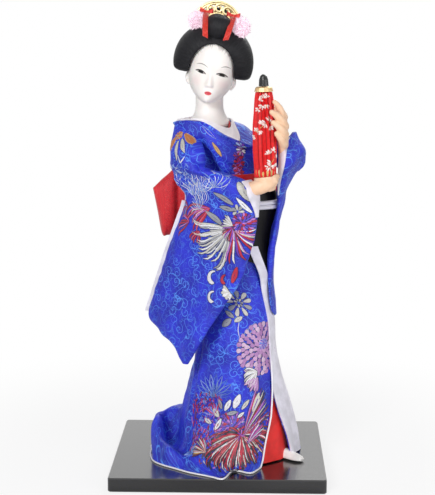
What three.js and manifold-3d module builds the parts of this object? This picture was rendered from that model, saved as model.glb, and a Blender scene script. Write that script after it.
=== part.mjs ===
// Standing costume doll: a cast head and hands and a dressed, stuffed body on a lacquered plinth,
// holding a closed paper parasol. Millimetres, +Z up, facing -Y. Origin: middle of the plinth's underside.
import * as THREE from "three";
import { mergeVertices } from "three/addons/utils/BufferGeometryUtils.js";
import Module from "manifold-3d";

const wasm = await Module();
wasm.setup();

// Driving dimensions
const GAP = 0.3; // between pieces that touch
const CLOTH = 0.9; // thickness of the robe cloth
const LINING = 0.7; // thickness of lining, collar and ribbon cloth

const BASE_WIDTH = 136;
const BASE_DEPTH = 120;
const BASE_HEIGHT = 9;
const BASE_CORNER = 1.5;
const BASE_EDGE = 0.7;

const POST_RADIUS = 3;
const POST_SEAT_DEPTH = 5.5;
const POST_TOP = 168;
const POST_X = 11;
const POST_Y = 0;
const SCREW_RADIUS = 1.5;
const SCREW_HEAD_RADIUS = 3.2;
const SCREW_HEAD_HEIGHT = 1.6;
const SCREW_GRIP = 11;

const SKIRT_TOP = 139;
const KNEE_HEIGHT = 34;
const HEM_HEIGHT = 0.9;
const TRAIN_RIM = 17;
const TRAIN_VALLEY = 4;
const UNDER_ROBE_TOP = 70;
const ANKLE_TOP = 18;

const OBI_BOTTOM = 123;
const OBI_TOP = 178;
const OBI_THICKNESS = 1.6;
const CORD_HEIGHT = 166;
const CORD_WIDTH = 5.6;
const CORD_THICKNESS = 1.3;
const SCARF_HEIGHT = 6;
const SCARF_THICKNESS = 1.8;

const BODICE_BOTTOM = 172;
const NECK_FLARE_HEIGHT = 215.5;
// The shoulders, arms and neck follow the bodice's height: a rise above the waist, and the lean that
// goes with it, are those of a bodice BODICE_DRAWN tall.
const BODICE_DRAWN = 43.5;
const BODICE_LEAN_X = 6; // middle of the body at the top of the sash
const bodiceShare = (NECK_FLARE_HEIGHT - BODICE_BOTTOM) / BODICE_DRAWN;
const upBodice = (rise) => BODICE_BOTTOM + rise * bodiceShare;
const leaned = (lean) => BODICE_LEAN_X - lean * bodiceShare;
const NECK_X = leaned(12.5);
const NECK_Y = 2.5;
const NECK_RADIUS = 7.6;
const NECK_FLARE_RADIUS = 12.8;
const PEG_RADIUS = 4;
const PEG_LENGTH = 15;
const PEG_CLEARANCE = 0.1;
const SOCKET_WALL = 1.8;

const HEAD_X = NECK_X + 1.5;
const HEAD_Y = 0;
const HEAD_RISE = 32; // eye line above the neck's foot
const HEAD_HEIGHT = NECK_FLARE_HEIGHT + HEAD_RISE;
const HEAD_ROLL = THREE.MathUtils.degToRad(9);

const PARASOL_X = 29;
const PARASOL_Y = -30;
const PARASOL_HEIGHT = 184.6; // lower edge of the paper above the plinth
const PARASOL_ROLL = THREE.MathUtils.degToRad(-1.4);
const PARASOL_LENGTH = 52;
const PARASOL_FOOT_RADIUS = 8.4;
const PARASOL_NECK_RADIUS = 5.6;
const PARASOL_PLEATS = 14;
const PARASOL_PLEAT_DEPTH = 0.75;
const SHAFT_RADIUS = 1.5;
const HANDLE_LENGTH = 8;
const CAP_RADIUS = 3.1;
const CAP_HEIGHT = 7;
const BAND_HEIGHT = 3;

// Materials
const material = (color, roughness, metalness = 0) =>
  new THREE.MeshStandardMaterial({ color, roughness, metalness });
const LACQUER = material(0x141414, 0.12);
const STEEL = material(0x9a9a9a, 0.35, 1);
const WOOD = material(0xc8a878, 0.7);
const FOAM = material(0xe8e2d2, 0.95);
const SKIN = material(0xf3ece6, 0.45);
const HAND_SKIN = material(0xf3d9b8, 0.5);
const HAIR = material(0x17171a, 0.4);
const BLUE_SILK = material(0x2f3bd0, 0.4);
const WHITE_SILK = material(0xe6e4f2, 0.6);
const RED_SILK = material(0xcc1420, 0.5);
const BLACK_SATIN = material(0x121114, 0.3);
const RED_PAPER = material(0xd8191c, 0.6);
const GOLD = material(0xe4c165, 0.35, 0.6);
const PINK_TULLE = material(0xf6d6ea, 0.9);
const BLACK_PLASTIC = material(0x101012, 0.25);

// Helpers: interpolation
const lerp = THREE.MathUtils.lerp;
const clamp = THREE.MathUtils.clamp;
const rad = THREE.MathUtils.degToRad;
const bell = (x, middle, width) => Math.exp(-(((x - middle) / width) ** 2));
const turnBetween = (a, b) => Math.atan2(Math.sin(a - b), Math.cos(a - b));
const smooth = THREE.MathUtils.smoothstep;

// A smooth value through rows of [position, ...values], for a position between two rows.
function through(rows, position) {
  const last = rows.length - 1;
  let i = 0;
  while (i < last - 1 && position > rows[i + 1][0]) i++;
  const t = clamp((position - rows[i][0]) / (rows[i + 1][0] - rows[i][0]), 0, 1);
  const slope = (k, c) => {
    const p = rows[Math.max(k - 1, 0)];
    const n = rows[Math.min(k + 1, last)];
    return (n[c] - p[c]) / (n[0] - p[0]);
  };
  const span = rows[i + 1][0] - rows[i][0];
  const t2 = t * t;
  const t3 = t2 * t;
  return rows[i].slice(1).map((value, c) =>
    (2 * t3 - 3 * t2 + 1) * value +
    (t3 - 2 * t2 + t) * slope(i, c + 1) * span +
    (3 * t2 - 2 * t3) * rows[i + 1][c + 1] +
    (t3 - t2) * slope(i + 1, c + 1) * span);
}

// Helpers: closed meshes and solids
const grid = (columns, rows, point) =>
  Array.from({ length: rows }, (_, j) =>
    Array.from({ length: columns }, (_, i) => point(i, j)));

function closedMesh(points, faces) {
  const geometry = new THREE.BufferGeometry();
  const numbers = points.flatMap((p) => p.toArray());
  geometry.setAttribute("position", new THREE.Float32BufferAttribute(numbers, 3));
  geometry.setIndex(faces);
  return geometry;
}

const quad = (faces, a, b, c, d) => faces.push(a, b, c, a, c, d);

// Rings of points, joined into a tube whose two ends are closed.
function loft(rings) {
  const count = rings[0].length;
  const points = rings.flat();
  const faces = [];
  for (let j = 0; j + 1 < rings.length; j++)
    for (let i = 0; i < count; i++) {
      const k = (i + 1) % count;
      quad(faces, j * count + i, j * count + k, (j + 1) * count + k, (j + 1) * count + i);
    }
  const cap = (ring, start, flip) => {
    const middle = new THREE.Vector3();
    ring.forEach((p) => middle.addScaledVector(p, 1 / count));
    const hub = points.push(middle) - 1;
    for (let i = 0; i < count; i++) {
      const k = (i + 1) % count;
      faces.push(hub, start + (flip ? k : i), start + (flip ? i : k));
    }
  };
  cap(rings[0], 0, true);
  cap(rings.at(-1), (rings.length - 1) * count, false);
  return solid(closedMesh(points, faces));
}

// Outward normals of a grid of points that may close on itself round its rows.
function gridNormals(rows, closed) {
  const last = rows.length - 1;
  const count = rows[0].length;
  const column = (i) => (closed ? (i + count) % count : clamp(i, 0, count - 1));
  return rows.map((row, j) => row.map((_, i) => {
    const along = row[column(i + 1)].clone().sub(row[column(i - 1)]);
    const up = rows[Math.min(j + 1, last)][i].clone().sub(rows[Math.max(j - 1, 0)][i]);
    return along.cross(up).normalize();
  }));
}

// A sheet of cloth: the grid pushed out to `outer` and in to `inner` along its normals.
function sheet(rows, closed, inner, outer) {
  const normals = gridNormals(rows, closed);
  const count = rows[0].length;
  const last = rows.length - 1;
  const side = (d) => rows.flatMap((row, j) => row.map((p, i) =>
    p.clone().addScaledVector(normals[j][i], typeof d === "function" ? d(i, j) : d)));
  const points = [...side(outer), ...side(inner)];
  const back = count * rows.length;
  const faces = [];
  const at = (i, j) => j * count + (i % count);
  const spans = closed ? count : count - 1;
  for (let i = 0; i < spans; i++) {
    for (let j = 0; j < last; j++) {
      quad(faces, at(i, j), at(i + 1, j), at(i + 1, j + 1), at(i, j + 1));
      quad(faces, back + at(i, j), back + at(i, j + 1), back + at(i + 1, j + 1), back + at(i + 1, j));
    }
    quad(faces, at(i, 0), back + at(i, 0), back + at(i + 1, 0), at(i + 1, 0));
    quad(faces, at(i, last), at(i + 1, last), back + at(i + 1, last), back + at(i, last));
  }
  if (!closed)
    for (let j = 0; j < last; j++) {
      const end = count - 1;
      quad(faces, at(0, j), at(0, j + 1), back + at(0, j + 1), back + at(0, j));
      quad(faces, at(end, j), back + at(end, j), back + at(end, j + 1), at(end, j + 1));
    }
  return solid(closedMesh(points, faces));
}

// A filled form from rings, pushed out along its normals.
function swollen(rings, out) {
  const normals = gridNormals(rings, true);
  const push = (p, i, j) => p.clone().addScaledVector(normals[j][i], out);
  return loft(rings.map((row, j) => row.map((p, i) => push(p, i, j))));
}

// A round bar along points, with a radius at each and rounded ends.
function bar(points, radii, sides = 8, steps = 8) {
  const curve = new THREE.CatmullRomCurve3(points);
  const frames = curve.computeFrenetFrames(steps);
  const ring = (at, radius, shift) => Array.from({ length: sides }, (_, i) => {
    const turn = (2 * Math.PI * i) / sides;
    const k = Math.round(at * steps);
    return curve.getPoint(at)
      .addScaledVector(frames.normals[k], radius * Math.cos(turn))
      .addScaledVector(frames.binormals[k], radius * Math.sin(turn))
      .addScaledVector(frames.tangents[k], shift);
  });
  const radiusAt = (at) => through(radii.map((r, i) => [i / (radii.length - 1), r]), at)[0];
  const rings = [ring(0, radiusAt(0) * 0.6, -radiusAt(0) * 0.7)];
  for (let k = 0; k <= steps; k++) rings.push(ring(k / steps, radiusAt(k / steps), 0));
  rings.push(ring(1, radiusAt(1) * 0.6, radiusAt(1) * 0.7));
  return loft(rings);
}

// A turned piece: [radius, height] rows from the axis back to the axis, or closed on themselves.
function turned(profile, sides) {
  return solid(new THREE.LatheGeometry(profile.map(([r, z]) => new THREE.Vector2(r, z)), sides)
    .rotateX(Math.PI / 2));
}

// A manifold-3d solid from a closed geometry, turned the right way out.
function solid(geometry) {
  const bare = geometry.index ? geometry.toNonIndexed() : geometry.clone();
  bare.deleteAttribute("normal");
  bare.deleteAttribute("uv");
  const merged = mergeVertices(bare, 1e-4);
  const build = (triVerts) => new wasm.Manifold(new wasm.Mesh({
    numProp: 3, vertProperties: merged.attributes.position.array, triVerts }));
  const triVerts = new Uint32Array(merged.index.array);
  const made = build(triVerts);
  if (made.volume() > 0) return made;
  return build(triVerts.map((_, i) => triVerts[i - (i % 3) + (2 - (i % 3))]));
}

function geometryOf(made) {
  const data = made.getMesh();
  const geometry = new THREE.BufferGeometry();
  geometry.setAttribute("position", new THREE.BufferAttribute(data.vertProperties, 3));
  geometry.setIndex(new THREE.BufferAttribute(data.triVerts, 1));
  return geometry;
}

const cut = (piece, ...tools) => tools.reduce((left, tool) => left.subtract(tool), piece);
const join = (first, ...others) => others.reduce((sum, next) => sum.add(next), first);
const largest = (made) => made.decompose().reduce((a, b) => (a.volume() > b.volume() ? a : b));
const moved = (made, x, y, z) => made.translate([x, y, z]);

// Cuts leave slivers, so the ends of any very short edge are drawn together.
const SHORTEST_EDGE = 0.05;
function withoutSlivers(made) {
  const { vertProperties, triVerts } = made.getMesh();
  const home = Array.from({ length: vertProperties.length / 3 }, (_, i) => i);
  const find = (i) => (home[i] === i ? i : find(home[i]));
  const place = (i) => new THREE.Vector3().fromArray(vertProperties, 3 * i);
  for (let t = 0; t < triVerts.length; t++) {
    const from = triVerts[t];
    const to = triVerts[t % 3 === 2 ? t - 2 : t + 1];
    if (place(from).distanceTo(place(to)) < SHORTEST_EDGE) home[find(to)] = find(from);
  }
  const faces = [];
  for (let t = 0; t < triVerts.length; t += 3) {
    const [a, b, c] = [0, 1, 2].map((k) => find(triVerts[t + k]));
    if (a !== b && b !== c && c !== a) faces.push(a, b, c);
  }
  return solid(closedMesh(home.map((_, i) => place(i)), faces));
}

function add(parent, name, made, look) {
  const mesh = new THREE.Mesh(geometryOf(withoutSlivers(made)), look);
  mesh.name = name;
  parent.add(mesh);
  return mesh;
}

const vec = (x, y, z) => new THREE.Vector3(x, y, z);

// The dressed body: an upright form whose oval sections lean as the figure does.
// Rows of height above the plinth, centre x and y, and half-widths along x and y.
const BODY_SECTIONS = [
  [0, 12, -5, 37, 33],
  [16, 12.5, -4, 36.5, 32],
  [33, 13, -3, 35, 30],
  [51, 13, -2.5, 31.5, 27],
  [71, 13.5, -2, 28, 24],
  [91, 14, -1.5, 24.5, 21],
  [116, 14, -1, 21.5, 18.5],
  [141, 13.5, -0.5, 19.5, 17],
  [166, 10.5, 0, 18, 16],
  [184, 6, 1, 18, 15.5],
];

// A point on the body's surface, or `out` beyond it. Turn 0 is +X and -90 degrees is the front.
function onBody(turn, height, out = 0) {
  const [x, y, a, b] = through(BODY_SECTIONS, height);
  return vec(x + (a + out) * Math.cos(turn), y + (b + out) * Math.sin(turn), height);
}

const ringOf = (sides, point) =>
  Array.from({ length: sides }, (_, i) => point((2 * Math.PI * i) / sides));
const ringOnBody = (height, out, sides) => ringOf(sides, (turn) => onBody(turn, height, out));

// A filled form of the body between two heights.
function bodyForm(bottom, top, out, sides, steps) {
  return loft(Array.from({ length: steps + 1 }, (_, j) =>
    ringOnBody(lerp(bottom, top, j / steps), out, sides)));
}

// A band of cloth round the body.
function bodyBand(bottom, top, inner, thickness, rows, bulge = () => 0) {
  const sides = 24;
  const ring = (out) => (j) => {
    const share = j / rows;
    return ringOnBody(lerp(bottom, top, share), out + (out > inner ? bulge(share) : 0), sides);
  };
  const outside = Array.from({ length: rows + 1 }, (_, j) => ring(inner + thickness)(j));
  return cut(loft(outside), loft([
    ringOnBody(bottom - 1, inner, sides),
    ...Array.from({ length: rows + 1 }, (_, j) => ring(inner)(j)),
    ringOnBody(top + 1, inner, sides),
  ]));
}

// The robe's skirt. Its front edge runs down the right of the front, and its hem spreads into a train.
// Rows of height and the turn of the front edge, in degrees.
const FRONT_EDGE = [
  [0, -63], [16, -58], [31, -51], [49, -44], [71, -40], [91, -43], [116, -56], [139, -69],
];
// Rows of the opening's width below the knee, in degrees, at a height.
const OPENING = [[0, 40], [16, 30], [33, 13], [51, 2], [139, 2]];
// Rows of turn, in degrees, and how far the hem reaches beyond the body.
const HEM_REACH = [
  [-60, 2], [-72, 4], [-85, 11], [-99, 17], [-125, 15], [-150, 14], [-180, 19], [-210, 17], [-240, 11],
  [-270, 7], [-330, 6], [-360, 6], [-424, 3],
].map(([turn, reach]) => [-turn, reach]);
const ROLL_TURN = rad(-178);
const ROLL_SPREAD = rad(34);
const KNEE_AT = 0.42; // share of the skirt's rows above the knee
const FOLD_DEPTH = 1.2;
const FOLDS_FROM = (KNEE_AT * (SKIRT_TOP - OBI_BOTTOM + 2)) / (SKIRT_TOP - KNEE_HEIGHT);

function skirtPoint(turn, v) {
  const ripple = 1.6 + Math.sin(7 * turn + 0.6) + 0.6 * Math.sin(11 * turn);
  const folds = FOLD_DEPTH * Math.max(v - FOLDS_FROM, 0) * ripple;
  if (v <= KNEE_AT) return onBody(turn, lerp(SKIRT_TOP, KNEE_HEIGHT, v / KNEE_AT), folds);
  const s = (v - KNEE_AT) / (1 - KNEE_AT);
  const reach = through(HEM_REACH, THREE.MathUtils.radToDeg(-turn))[0];
  const roll = bell(turnBetween(turn, ROLL_TURN), 0, ROLL_SPREAD);
  const fall = (1 - s) ** (1 + reach / 30);
  const wave = TRAIN_RIM * bell(s, 0.7, 0.17) - TRAIN_VALLEY * bell(s, 0.36, 0.14);
  const height = lerp(HEM_HEIGHT, KNEE_HEIGHT, fall);
  const point = onBody(turn, height, folds + reach * s ** 1.5);
  point.z += roll * wave * (s < 1 ? 1 : 0);
  return point;
}

const SKIRT_COLUMNS = 36;
const SKIRT_ROWS = [0, ...[0, 1, 2].map((k) => lerp(FOLDS_FROM, KNEE_AT, k / 3)),
  ...Array.from({ length: 8 }, (_, k) => lerp(KNEE_AT, 1, k / 7))].reverse();
const skirtHeight = (v) => (v <= KNEE_AT ? lerp(SKIRT_TOP, KNEE_HEIGHT, v / KNEE_AT)
  : lerp(KNEE_HEIGHT, 0, (v - KNEE_AT) / (1 - KNEE_AT)));
function skirtGrid() {
  return grid(SKIRT_COLUMNS, SKIRT_ROWS.length, (i, j) => {
    const v = SKIRT_ROWS[j];
    const height = skirtHeight(v);
    const start = through(FRONT_EDGE, height)[0];
    const opening = through(OPENING, height)[0];
    const turn = rad(lerp(start + opening - 360, start, i / (SKIRT_COLUMNS - 1)));
    return skirtPoint(turn, v);
  });
}

// Bodice: rows from the waist to the neck opening, which dips to a point at the crossed collars.
const [WAIST_X, WAIST_Y, WAIST_A, WAIST_B] = through(BODY_SECTIONS, BODICE_BOTTOM);
const TUCK = 0.5; // how far the bodice lies inside the sash
const BODICE_SECTIONS = [
  [0, WAIST_X, WAIST_Y, WAIST_A - TUCK, WAIST_B - TUCK, BODICE_BOTTOM],
  [0.18, leaned(0), 1, 18 - TUCK, 15.5 - TUCK, upBodice(12)],
  [0.38, leaned(3.5), 1, 22, 17.5, upBodice(22)],
  [0.58, leaned(6.5), 1.5, 24.5, 17.5, upBodice(31)],
  [0.78, leaned(9), 2, 24.5, 15.5, upBodice(38)],
  [0.92, leaned(11), 2.5, 20.5, 14, upBodice(43.5)],
  [1, NECK_X, NECK_Y, 15.5, 14.5, upBodice(45.5)],
];
const COLLAR_POINT_TURN = rad(-44);
const COLLAR_DIP = 15;

function bodicePoint(turn, v) {
  const [x, y, a, b, height] = through(BODICE_SECTIONS, v);
  const dip = bell(turnBetween(turn, COLLAR_POINT_TURN), 0, 0.42) * smooth(v, 0.5, 1);
  const reach = 1 + 0.5 * dip;
  const slope = -0.1 * (a * Math.cos(turn)) * smooth(v, 0.3, 0.8);
  return vec(x + a * reach * Math.cos(turn), y + b * reach * Math.sin(turn),
    height + slope * 0.6 - COLLAR_DIP * dip * 0.8);
}

const BODICE_SIDES = 24;
const BODICE_ROWS = 8;
const bodiceGrid = grid(BODICE_SIDES, BODICE_ROWS, (i, j) =>
  bodicePoint((2 * Math.PI * i) / BODICE_SIDES, j / (BODICE_ROWS - 1)));
const bodiceForm = (out) => swollen(bodiceGrid, out);

// Plinth, post and screw
function basePlinth() {
  const w = BASE_WIDTH / 2 - BASE_EDGE;
  const d = BASE_DEPTH / 2 - BASE_EDGE;
  const r = BASE_CORNER;
  const outline = new THREE.Shape()
    .moveTo(-w + r, -d).lineTo(w - r, -d).absarc(w - r, -d + r, r, -Math.PI / 2, 0)
    .lineTo(w, d - r).absarc(w - r, d - r, r, 0, Math.PI / 2)
    .lineTo(-w + r, d).absarc(-w + r, d - r, r, Math.PI / 2, Math.PI)
    .lineTo(-w, -d + r).absarc(-w + r, -d + r, r, Math.PI, 1.5 * Math.PI);
  const board = solid(new THREE.ExtrudeGeometry(outline, {
    depth: BASE_HEIGHT - 2 * BASE_EDGE, bevelThickness: BASE_EDGE, bevelSize: BASE_EDGE,
    bevelSegments: 1, curveSegments: 3 }).translate(0, 0, BASE_EDGE));
  const seatRadius = POST_RADIUS + GAP;
  const seat = turned([[0, 0], [seatRadius, 0], [seatRadius, BASE_HEIGHT], [0, BASE_HEIGHT]], 12);
  const hole = turned([[0, -1], [SCREW_HEAD_RADIUS + GAP, -1],
    [SCREW_HEAD_RADIUS + GAP, SCREW_HEAD_HEIGHT + GAP], [SCREW_RADIUS + GAP, SCREW_HEAD_HEIGHT + GAP],
    [SCREW_RADIUS + GAP, BASE_HEIGHT], [0, BASE_HEIGHT]], 12);
  const seatBottom = BASE_HEIGHT - POST_SEAT_DEPTH - GAP;
  return cut(board, moved(seat, POST_X, POST_Y, seatBottom), moved(hole, POST_X, POST_Y, 0));
}

function baseScrew(extra = 0) {
  const shank = SCREW_RADIUS + extra;
  const tip = SCREW_HEAD_HEIGHT + SCREW_GRIP + extra;
  return moved(turned([[0, 0.2], [SCREW_HEAD_RADIUS, 0.2], [SCREW_HEAD_RADIUS, SCREW_HEAD_HEIGHT],
    [shank, SCREW_HEAD_HEIGHT], [shank, tip - 2], [0, tip]], 12), POST_X, POST_Y, 0);
}

function postRod(extra = 0) {
  const r = POST_RADIUS + extra;
  const bottom = -POST_SEAT_DEPTH;
  return moved(turned([[0, bottom], [r, bottom], [r, POST_TOP - 1 + extra], [r - 1, POST_TOP + extra],
    [0, POST_TOP + extra]], 12), POST_X, POST_Y, 0);
}
const supportPost = () => cut(postRod(), moved(baseScrew(GAP), 0, 0, -BASE_HEIGHT));

// A split-toed sock foot: sole and instep in one form, with the ankle that goes up into the body.
function foot(heel, toe, extra = 0) {
  const length = heel.distanceTo(toe);
  const ahead = toe.clone().sub(heel).normalize();
  const beside = vec(-ahead.y, ahead.x, 0);
  // Share of the length, half-width and height of each section.
  const sections = [
    [0, 2.2, 3.5], [0.12, 3.4, 6.6], [0.4, 3.5, 6.6], [0.65, 4.1, 5.2], [0.88, 4, 3.6], [1, 2.3, 2.2],
  ];
  const rings = sections.map(([share, half, height]) => Array.from({ length: 10 }, (_, i) => {
    const turn = (2 * Math.PI * i) / 10;
    const up = 1.2 + Math.sin(turn) * (Math.sin(turn) > 0 ? height - 1.2 : 0.9);
    return heel.clone().addScaledVector(ahead, share * length)
      .addScaledVector(beside, (half + extra) * Math.cos(turn))
      .add(vec(0, 0, up + Math.sign(Math.sin(turn)) * extra));
  }));
  const ankle = heel.clone().addScaledVector(ahead, 0.25 * length);
  const shin = turned([[0, 3], [3.4 + extra, 3], [3 + extra, ANKLE_TOP], [0, ANKLE_TOP]], 10);
  const leg = moved(shin, ankle.x, ankle.y, 0);
  const cleft = new THREE.BoxGeometry(0.28 * length, 0.5, 12);
  const split = solid(cleft.applyMatrix4(new THREE.Matrix4().makeBasis(ahead, beside, vec(0, 0, 1))
    .setPosition(toe.clone().addScaledVector(ahead, -0.02 * length).addScaledVector(beside, 1.2))));
  const whole = join(loft(rings), leg);
  return extra ? whole : cut(whole, split);
}
const LEFT_HEEL = vec(35, -13, GAP);
const LEFT_TOE = vec(54, -26.5, GAP);
const RIGHT_HEEL = vec(3, -2, GAP);
const RIGHT_TOE = vec(-1, -25, GAP);

// Arms: padded wire from the shoulder to the wrist.
const RIGHT_ARM = [
  vec(-13, 2, upBodice(34)), vec(-20.5, 0, upBodice(27)), vec(-22.5, -7, 186), vec(-6, -21, 179), vec(20, -30, 177),
];
const LEFT_ARM = [
  vec(10, 4, upBodice(31)), vec(24, 5, upBodice(28)), vec(42, 2, 193), vec(46, -8, 190), vec(42, -20, 191),
];
const ARM_RADIUS = 3.8;
const WRIST_RADIUS = 3;
const arm = (points, extra = 0) =>
  bar(points, [ARM_RADIUS, ARM_RADIUS, WRIST_RADIUS].map((r) => r + extra), 8, 12);

// Hands, each cast with its fingers.
function rightHand(extra = 0) {
  const limb = (points, radii, sides, steps) => bar(points, radii.map((r) => r + extra), sides, steps);
  const palm = limb([vec(23.5, -31, 177), vec(28, -31, 176.5), vec(33.5, -31, 177.5), vec(38, -31, 178.5)],
    [3.3, 5, 5.6, 3.6], 8, 5);
  const fingers = [24.4, 28.2, 32, 35.8].map((x, i) => limb([vec(x + 1.5, -34, 175.5),
    vec(x + 0.6, -39.2, 178), vec(x, -41, 182.5), vec(x - 0.2, -40.6, 187.5 - 0.5 * i)],
  [2, 1.8, 1.6, 1.2], 6, 4));
  const thumb = limb([vec(30, -26, 178), vec(33, -20.6, 181), vec(34.5, -19.2, 186)], [2.2, 1.9, 1.4], 6, 4);
  return join(palm, ...fingers, thumb);
}
function leftHand(extra = 0) {
  const limb = (points, radii, sides, steps) => bar(points, radii.map((r) => r + extra), sides, steps);
  const palm = limb([vec(41.2, -22.2, 194), vec(42, -25, 203), vec(42.4, -27.5, 212), vec(41.2, -29, 220),
    vec(39.5, -30, 225)], [3.4, 3.8, 5, 5.2, 3.4], 8, 6);
  const index = limb([vec(40, -32, 222), vec(38.4, -35.5, 227), vec(35.6, -37.5, 231), vec(33.4, -38, 234)],
    [2.2, 2, 1.7, 1.2], 6, 4);
  const thumb = limb([vec(40.5, -35, 214), vec(38, -38.6, 219), vec(34, -40.2, 224), vec(30, -40.4, 226.5)],
    [2.6, 2.3, 1.9, 1.3], 6, 4);
  const behind = [221, 217, 213].map((z) => limb([vec(42, -25, z), vec(40.5, -20, z + 2), vec(35, -17.6, z + 3),
    vec(30, -18.4, z + 2.4)], [2.1, 1.9, 1.7, 1.2], 6, 4));
  return join(palm, index, thumb, ...behind);
}

// Sleeves: flat bags that hang from the forearms.
// Rows of height, the x and y of a section's two ends, and its thickness.
const RIGHT_SLEEVE = [
  [65, -25, -24, -20, -31, 3],
  [73, -37, -8, -16, -31.5, 6],
  [91, -47, 5, -6, -33, 8],
  [116, -38.5, 3, 9, -34.5, 11],
  [141, -30, 0, 20, -34, 13],
  [163, -25, -2, 24.5, -33, 15],
  [175, -28, -4, 25, -32.5, 16],
  [182, -30.5, -5, 23, -31, 13],
  [187, -31, -5, -6, -14, 17],
  [197, -30.5, -3, -10.5, -5, 18],
  [208, -30, -1, -12, -1, 15],
  [215.5, -27, 0.5, -15, 1, 8],
];
const LEFT_SLEEVE = [
  [92, 35.6, 4, 36.6, 29, 3],
  [111, 35.6, 2, 37.4, 30, 4.5],
  [141, 35, 0, 38, 28, 5.5],
  [161, 35, -2, 41, 23, 8],
  [174, 36, -6, 46, 15, 11],
  [185, 38.5, -13, 53, 8, 15],
  [195, 42, -17, 58, 4, 16],
  [205, 45.5, -17, 57.5, -1, 11],
  [213, 48.5, -14.5, 51.5, -9, 4],
];
const SLEEVE_SIDES = 12;
const SLEEVE_ROWS = 18;

function sleeveForm(rows, extra = 0) {
  const rings = Array.from({ length: SLEEVE_ROWS }, (_, j) => {
    const height = lerp(rows[0][0], rows.at(-1)[0], j / (SLEEVE_ROWS - 1));
    const [x0, y0, x1, y1, thickness] = through(rows, height);
    const middle = vec((x0 + x1) / 2, (y0 + y1) / 2, height);
    const along = vec(x1 - x0, y1 - y0, 0);
    const half = along.length() / 2;
    along.normalize();
    const beside = vec(-along.y, along.x, 0);
    return Array.from({ length: SLEEVE_SIDES }, (_, i) => {
      const turn = (2 * Math.PI * i) / SLEEVE_SIDES;
      const width = Math.sign(Math.cos(turn)) * Math.abs(Math.cos(turn)) ** 0.7;
      return middle.clone().addScaledVector(along, (half + extra) * width)
        .addScaledVector(beside, (thickness / 2 + extra) * Math.sin(turn));
    });
  });
  return loft(rings);
}

// Head casting in its own frame: eye line at the origin, face towards -Y.
// Rows of height, half-width, and how far the front and the back reach.
const HEAD_SECTIONS = [
  [-18.6, 2.6, 13.8, -8], [-17.6, 5.2, 16, -5], [-14, 8.6, 16.6, 2], [-9, 11.8, 16.6, 9],
  [-3, 14, 16.6, 14], [5, 14.9, 17, 17], [13, 14.3, 16, 16.5], [19, 12.4, 12.8, 14], [23, 9, 8.5, 10],
  [25.5, 3, 3, 3.5],
];
function headForm(extra = 0, sides = 20, rows = 13) {
  const bottom = HEAD_SECTIONS[0][0] - extra;
  const top = HEAD_SECTIONS.at(-1)[0] + extra;
  return loft(Array.from({ length: rows }, (_, j) => {
    const z = lerp(bottom, top, j / (rows - 1));
    const [half, front, back] = through(HEAD_SECTIONS, z);
    return Array.from({ length: sides }, (_, i) => {
      const turn = (2 * Math.PI * i) / sides;
      const nose = extra ? 0 : 2.1 * bell(z, -5.4, 3.4) * bell(Math.cos(turn), 0, 0.16);
      const deep = Math.sin(turn) < 0 ? front + nose : back;
      return vec((half + extra) * Math.cos(turn), (deep + extra) * Math.sin(turn), z);
    });
  }));
}

// Where a point of the doll's frame lies in the head's frame, which is rolled about Y.
const headPlace = new THREE.Matrix4().makeRotationY(HEAD_ROLL).setPosition(HEAD_X, HEAD_Y, HEAD_HEIGHT);
const intoHead = headPlace.clone().invert();
const inHead = (made) => solid(geometryOf(made).applyMatrix4(intoHead));

function neckForm(extra = 0) {
  const flare = NECK_FLARE_RADIUS + extra;
  const foot = NECK_FLARE_HEIGHT - 2;
  const pegEnd = foot - PEG_LENGTH;
  const throat = NECK_RADIUS + extra;
  return moved(turned([
    [0, pegEnd - extra], [PEG_RADIUS - 0.5, pegEnd - extra], [PEG_RADIUS, pegEnd + 0.5],
    [PEG_RADIUS, foot - extra], [flare - 1, foot - extra], [flare, foot + 1], [flare - 2.2, foot + 3.4],
    [throat + 1.2, foot + 7], [throat, foot + 12], [throat, foot + 22], [0, foot + 26],
  ], 16), NECK_X, NECK_Y, 0);
}

function ear(side, extra = 0) {
  const rings = [-0.9 - extra, 0, 0.9 + extra].map((x, k) => Array.from({ length: 8 }, (_, i) => {
    const turn = (2 * Math.PI * i) / 8;
    const size = k === 1 ? 1 : 0.75;
    const across = (1.9 * size + extra) * Math.cos(turn);
    const up = (3.8 * size + extra) * Math.sin(turn);
    return vec(side * (13.8 + x), 1.5 + across, -5 + up);
  }));
  return loft(rings);
}

const headRoom = headForm(3.5 * GAP, 16, 9); // the room that the wig leaves for the head
const headCasting = () => join(headForm(), inHead(neckForm()), ear(1), ear(-1));

// Wig: a swept-up cap with side wings round the face, a crest over the forehead and a bun behind it.
const HAIR_SECTIONS = [
  [-2.4, 18.5, 13, 14], [-0.5, 22, 16, 18], [5, 24.4, 17.6, 21], [11, 25, 18, 22.5], [18, 23.6, 17.4, 22],
  [24, 20, 15, 19], [28.5, 14.5, 11, 14.5], [31, 7.5, 6, 8],
];
function ovalForm(rows, steps, sides, y, out = 0) {
  return swollen(Array.from({ length: steps }, (_, j) => {
    const z = lerp(rows[0][0], rows.at(-1)[0], j / (steps - 1));
    const [half, front, back] = through(rows, z);
    return Array.from({ length: sides }, (_, i) => {
      const turn = (2 * Math.PI * i) / sides;
      const deep = Math.sin(turn) < 0 ? front : back;
      return vec(half * Math.cos(turn), y + deep * Math.sin(turn), z);
    });
  }), out);
}
const FACE_OPENING_WIDTH = 14.6;
const FACE_OPENING_HEIGHT = 19.8;
function faceOpening() {
  const oval = new THREE.Shape().absellipse(0, 0, FACE_OPENING_WIDTH, FACE_OPENING_HEIGHT, 0, 2 * Math.PI);
  return solid(new THREE.ExtrudeGeometry(oval, { depth: 40, bevelEnabled: false, curveSegments: 12 })
    .rotateX(Math.PI / 2).translate(0, -2, -2));
}
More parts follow.
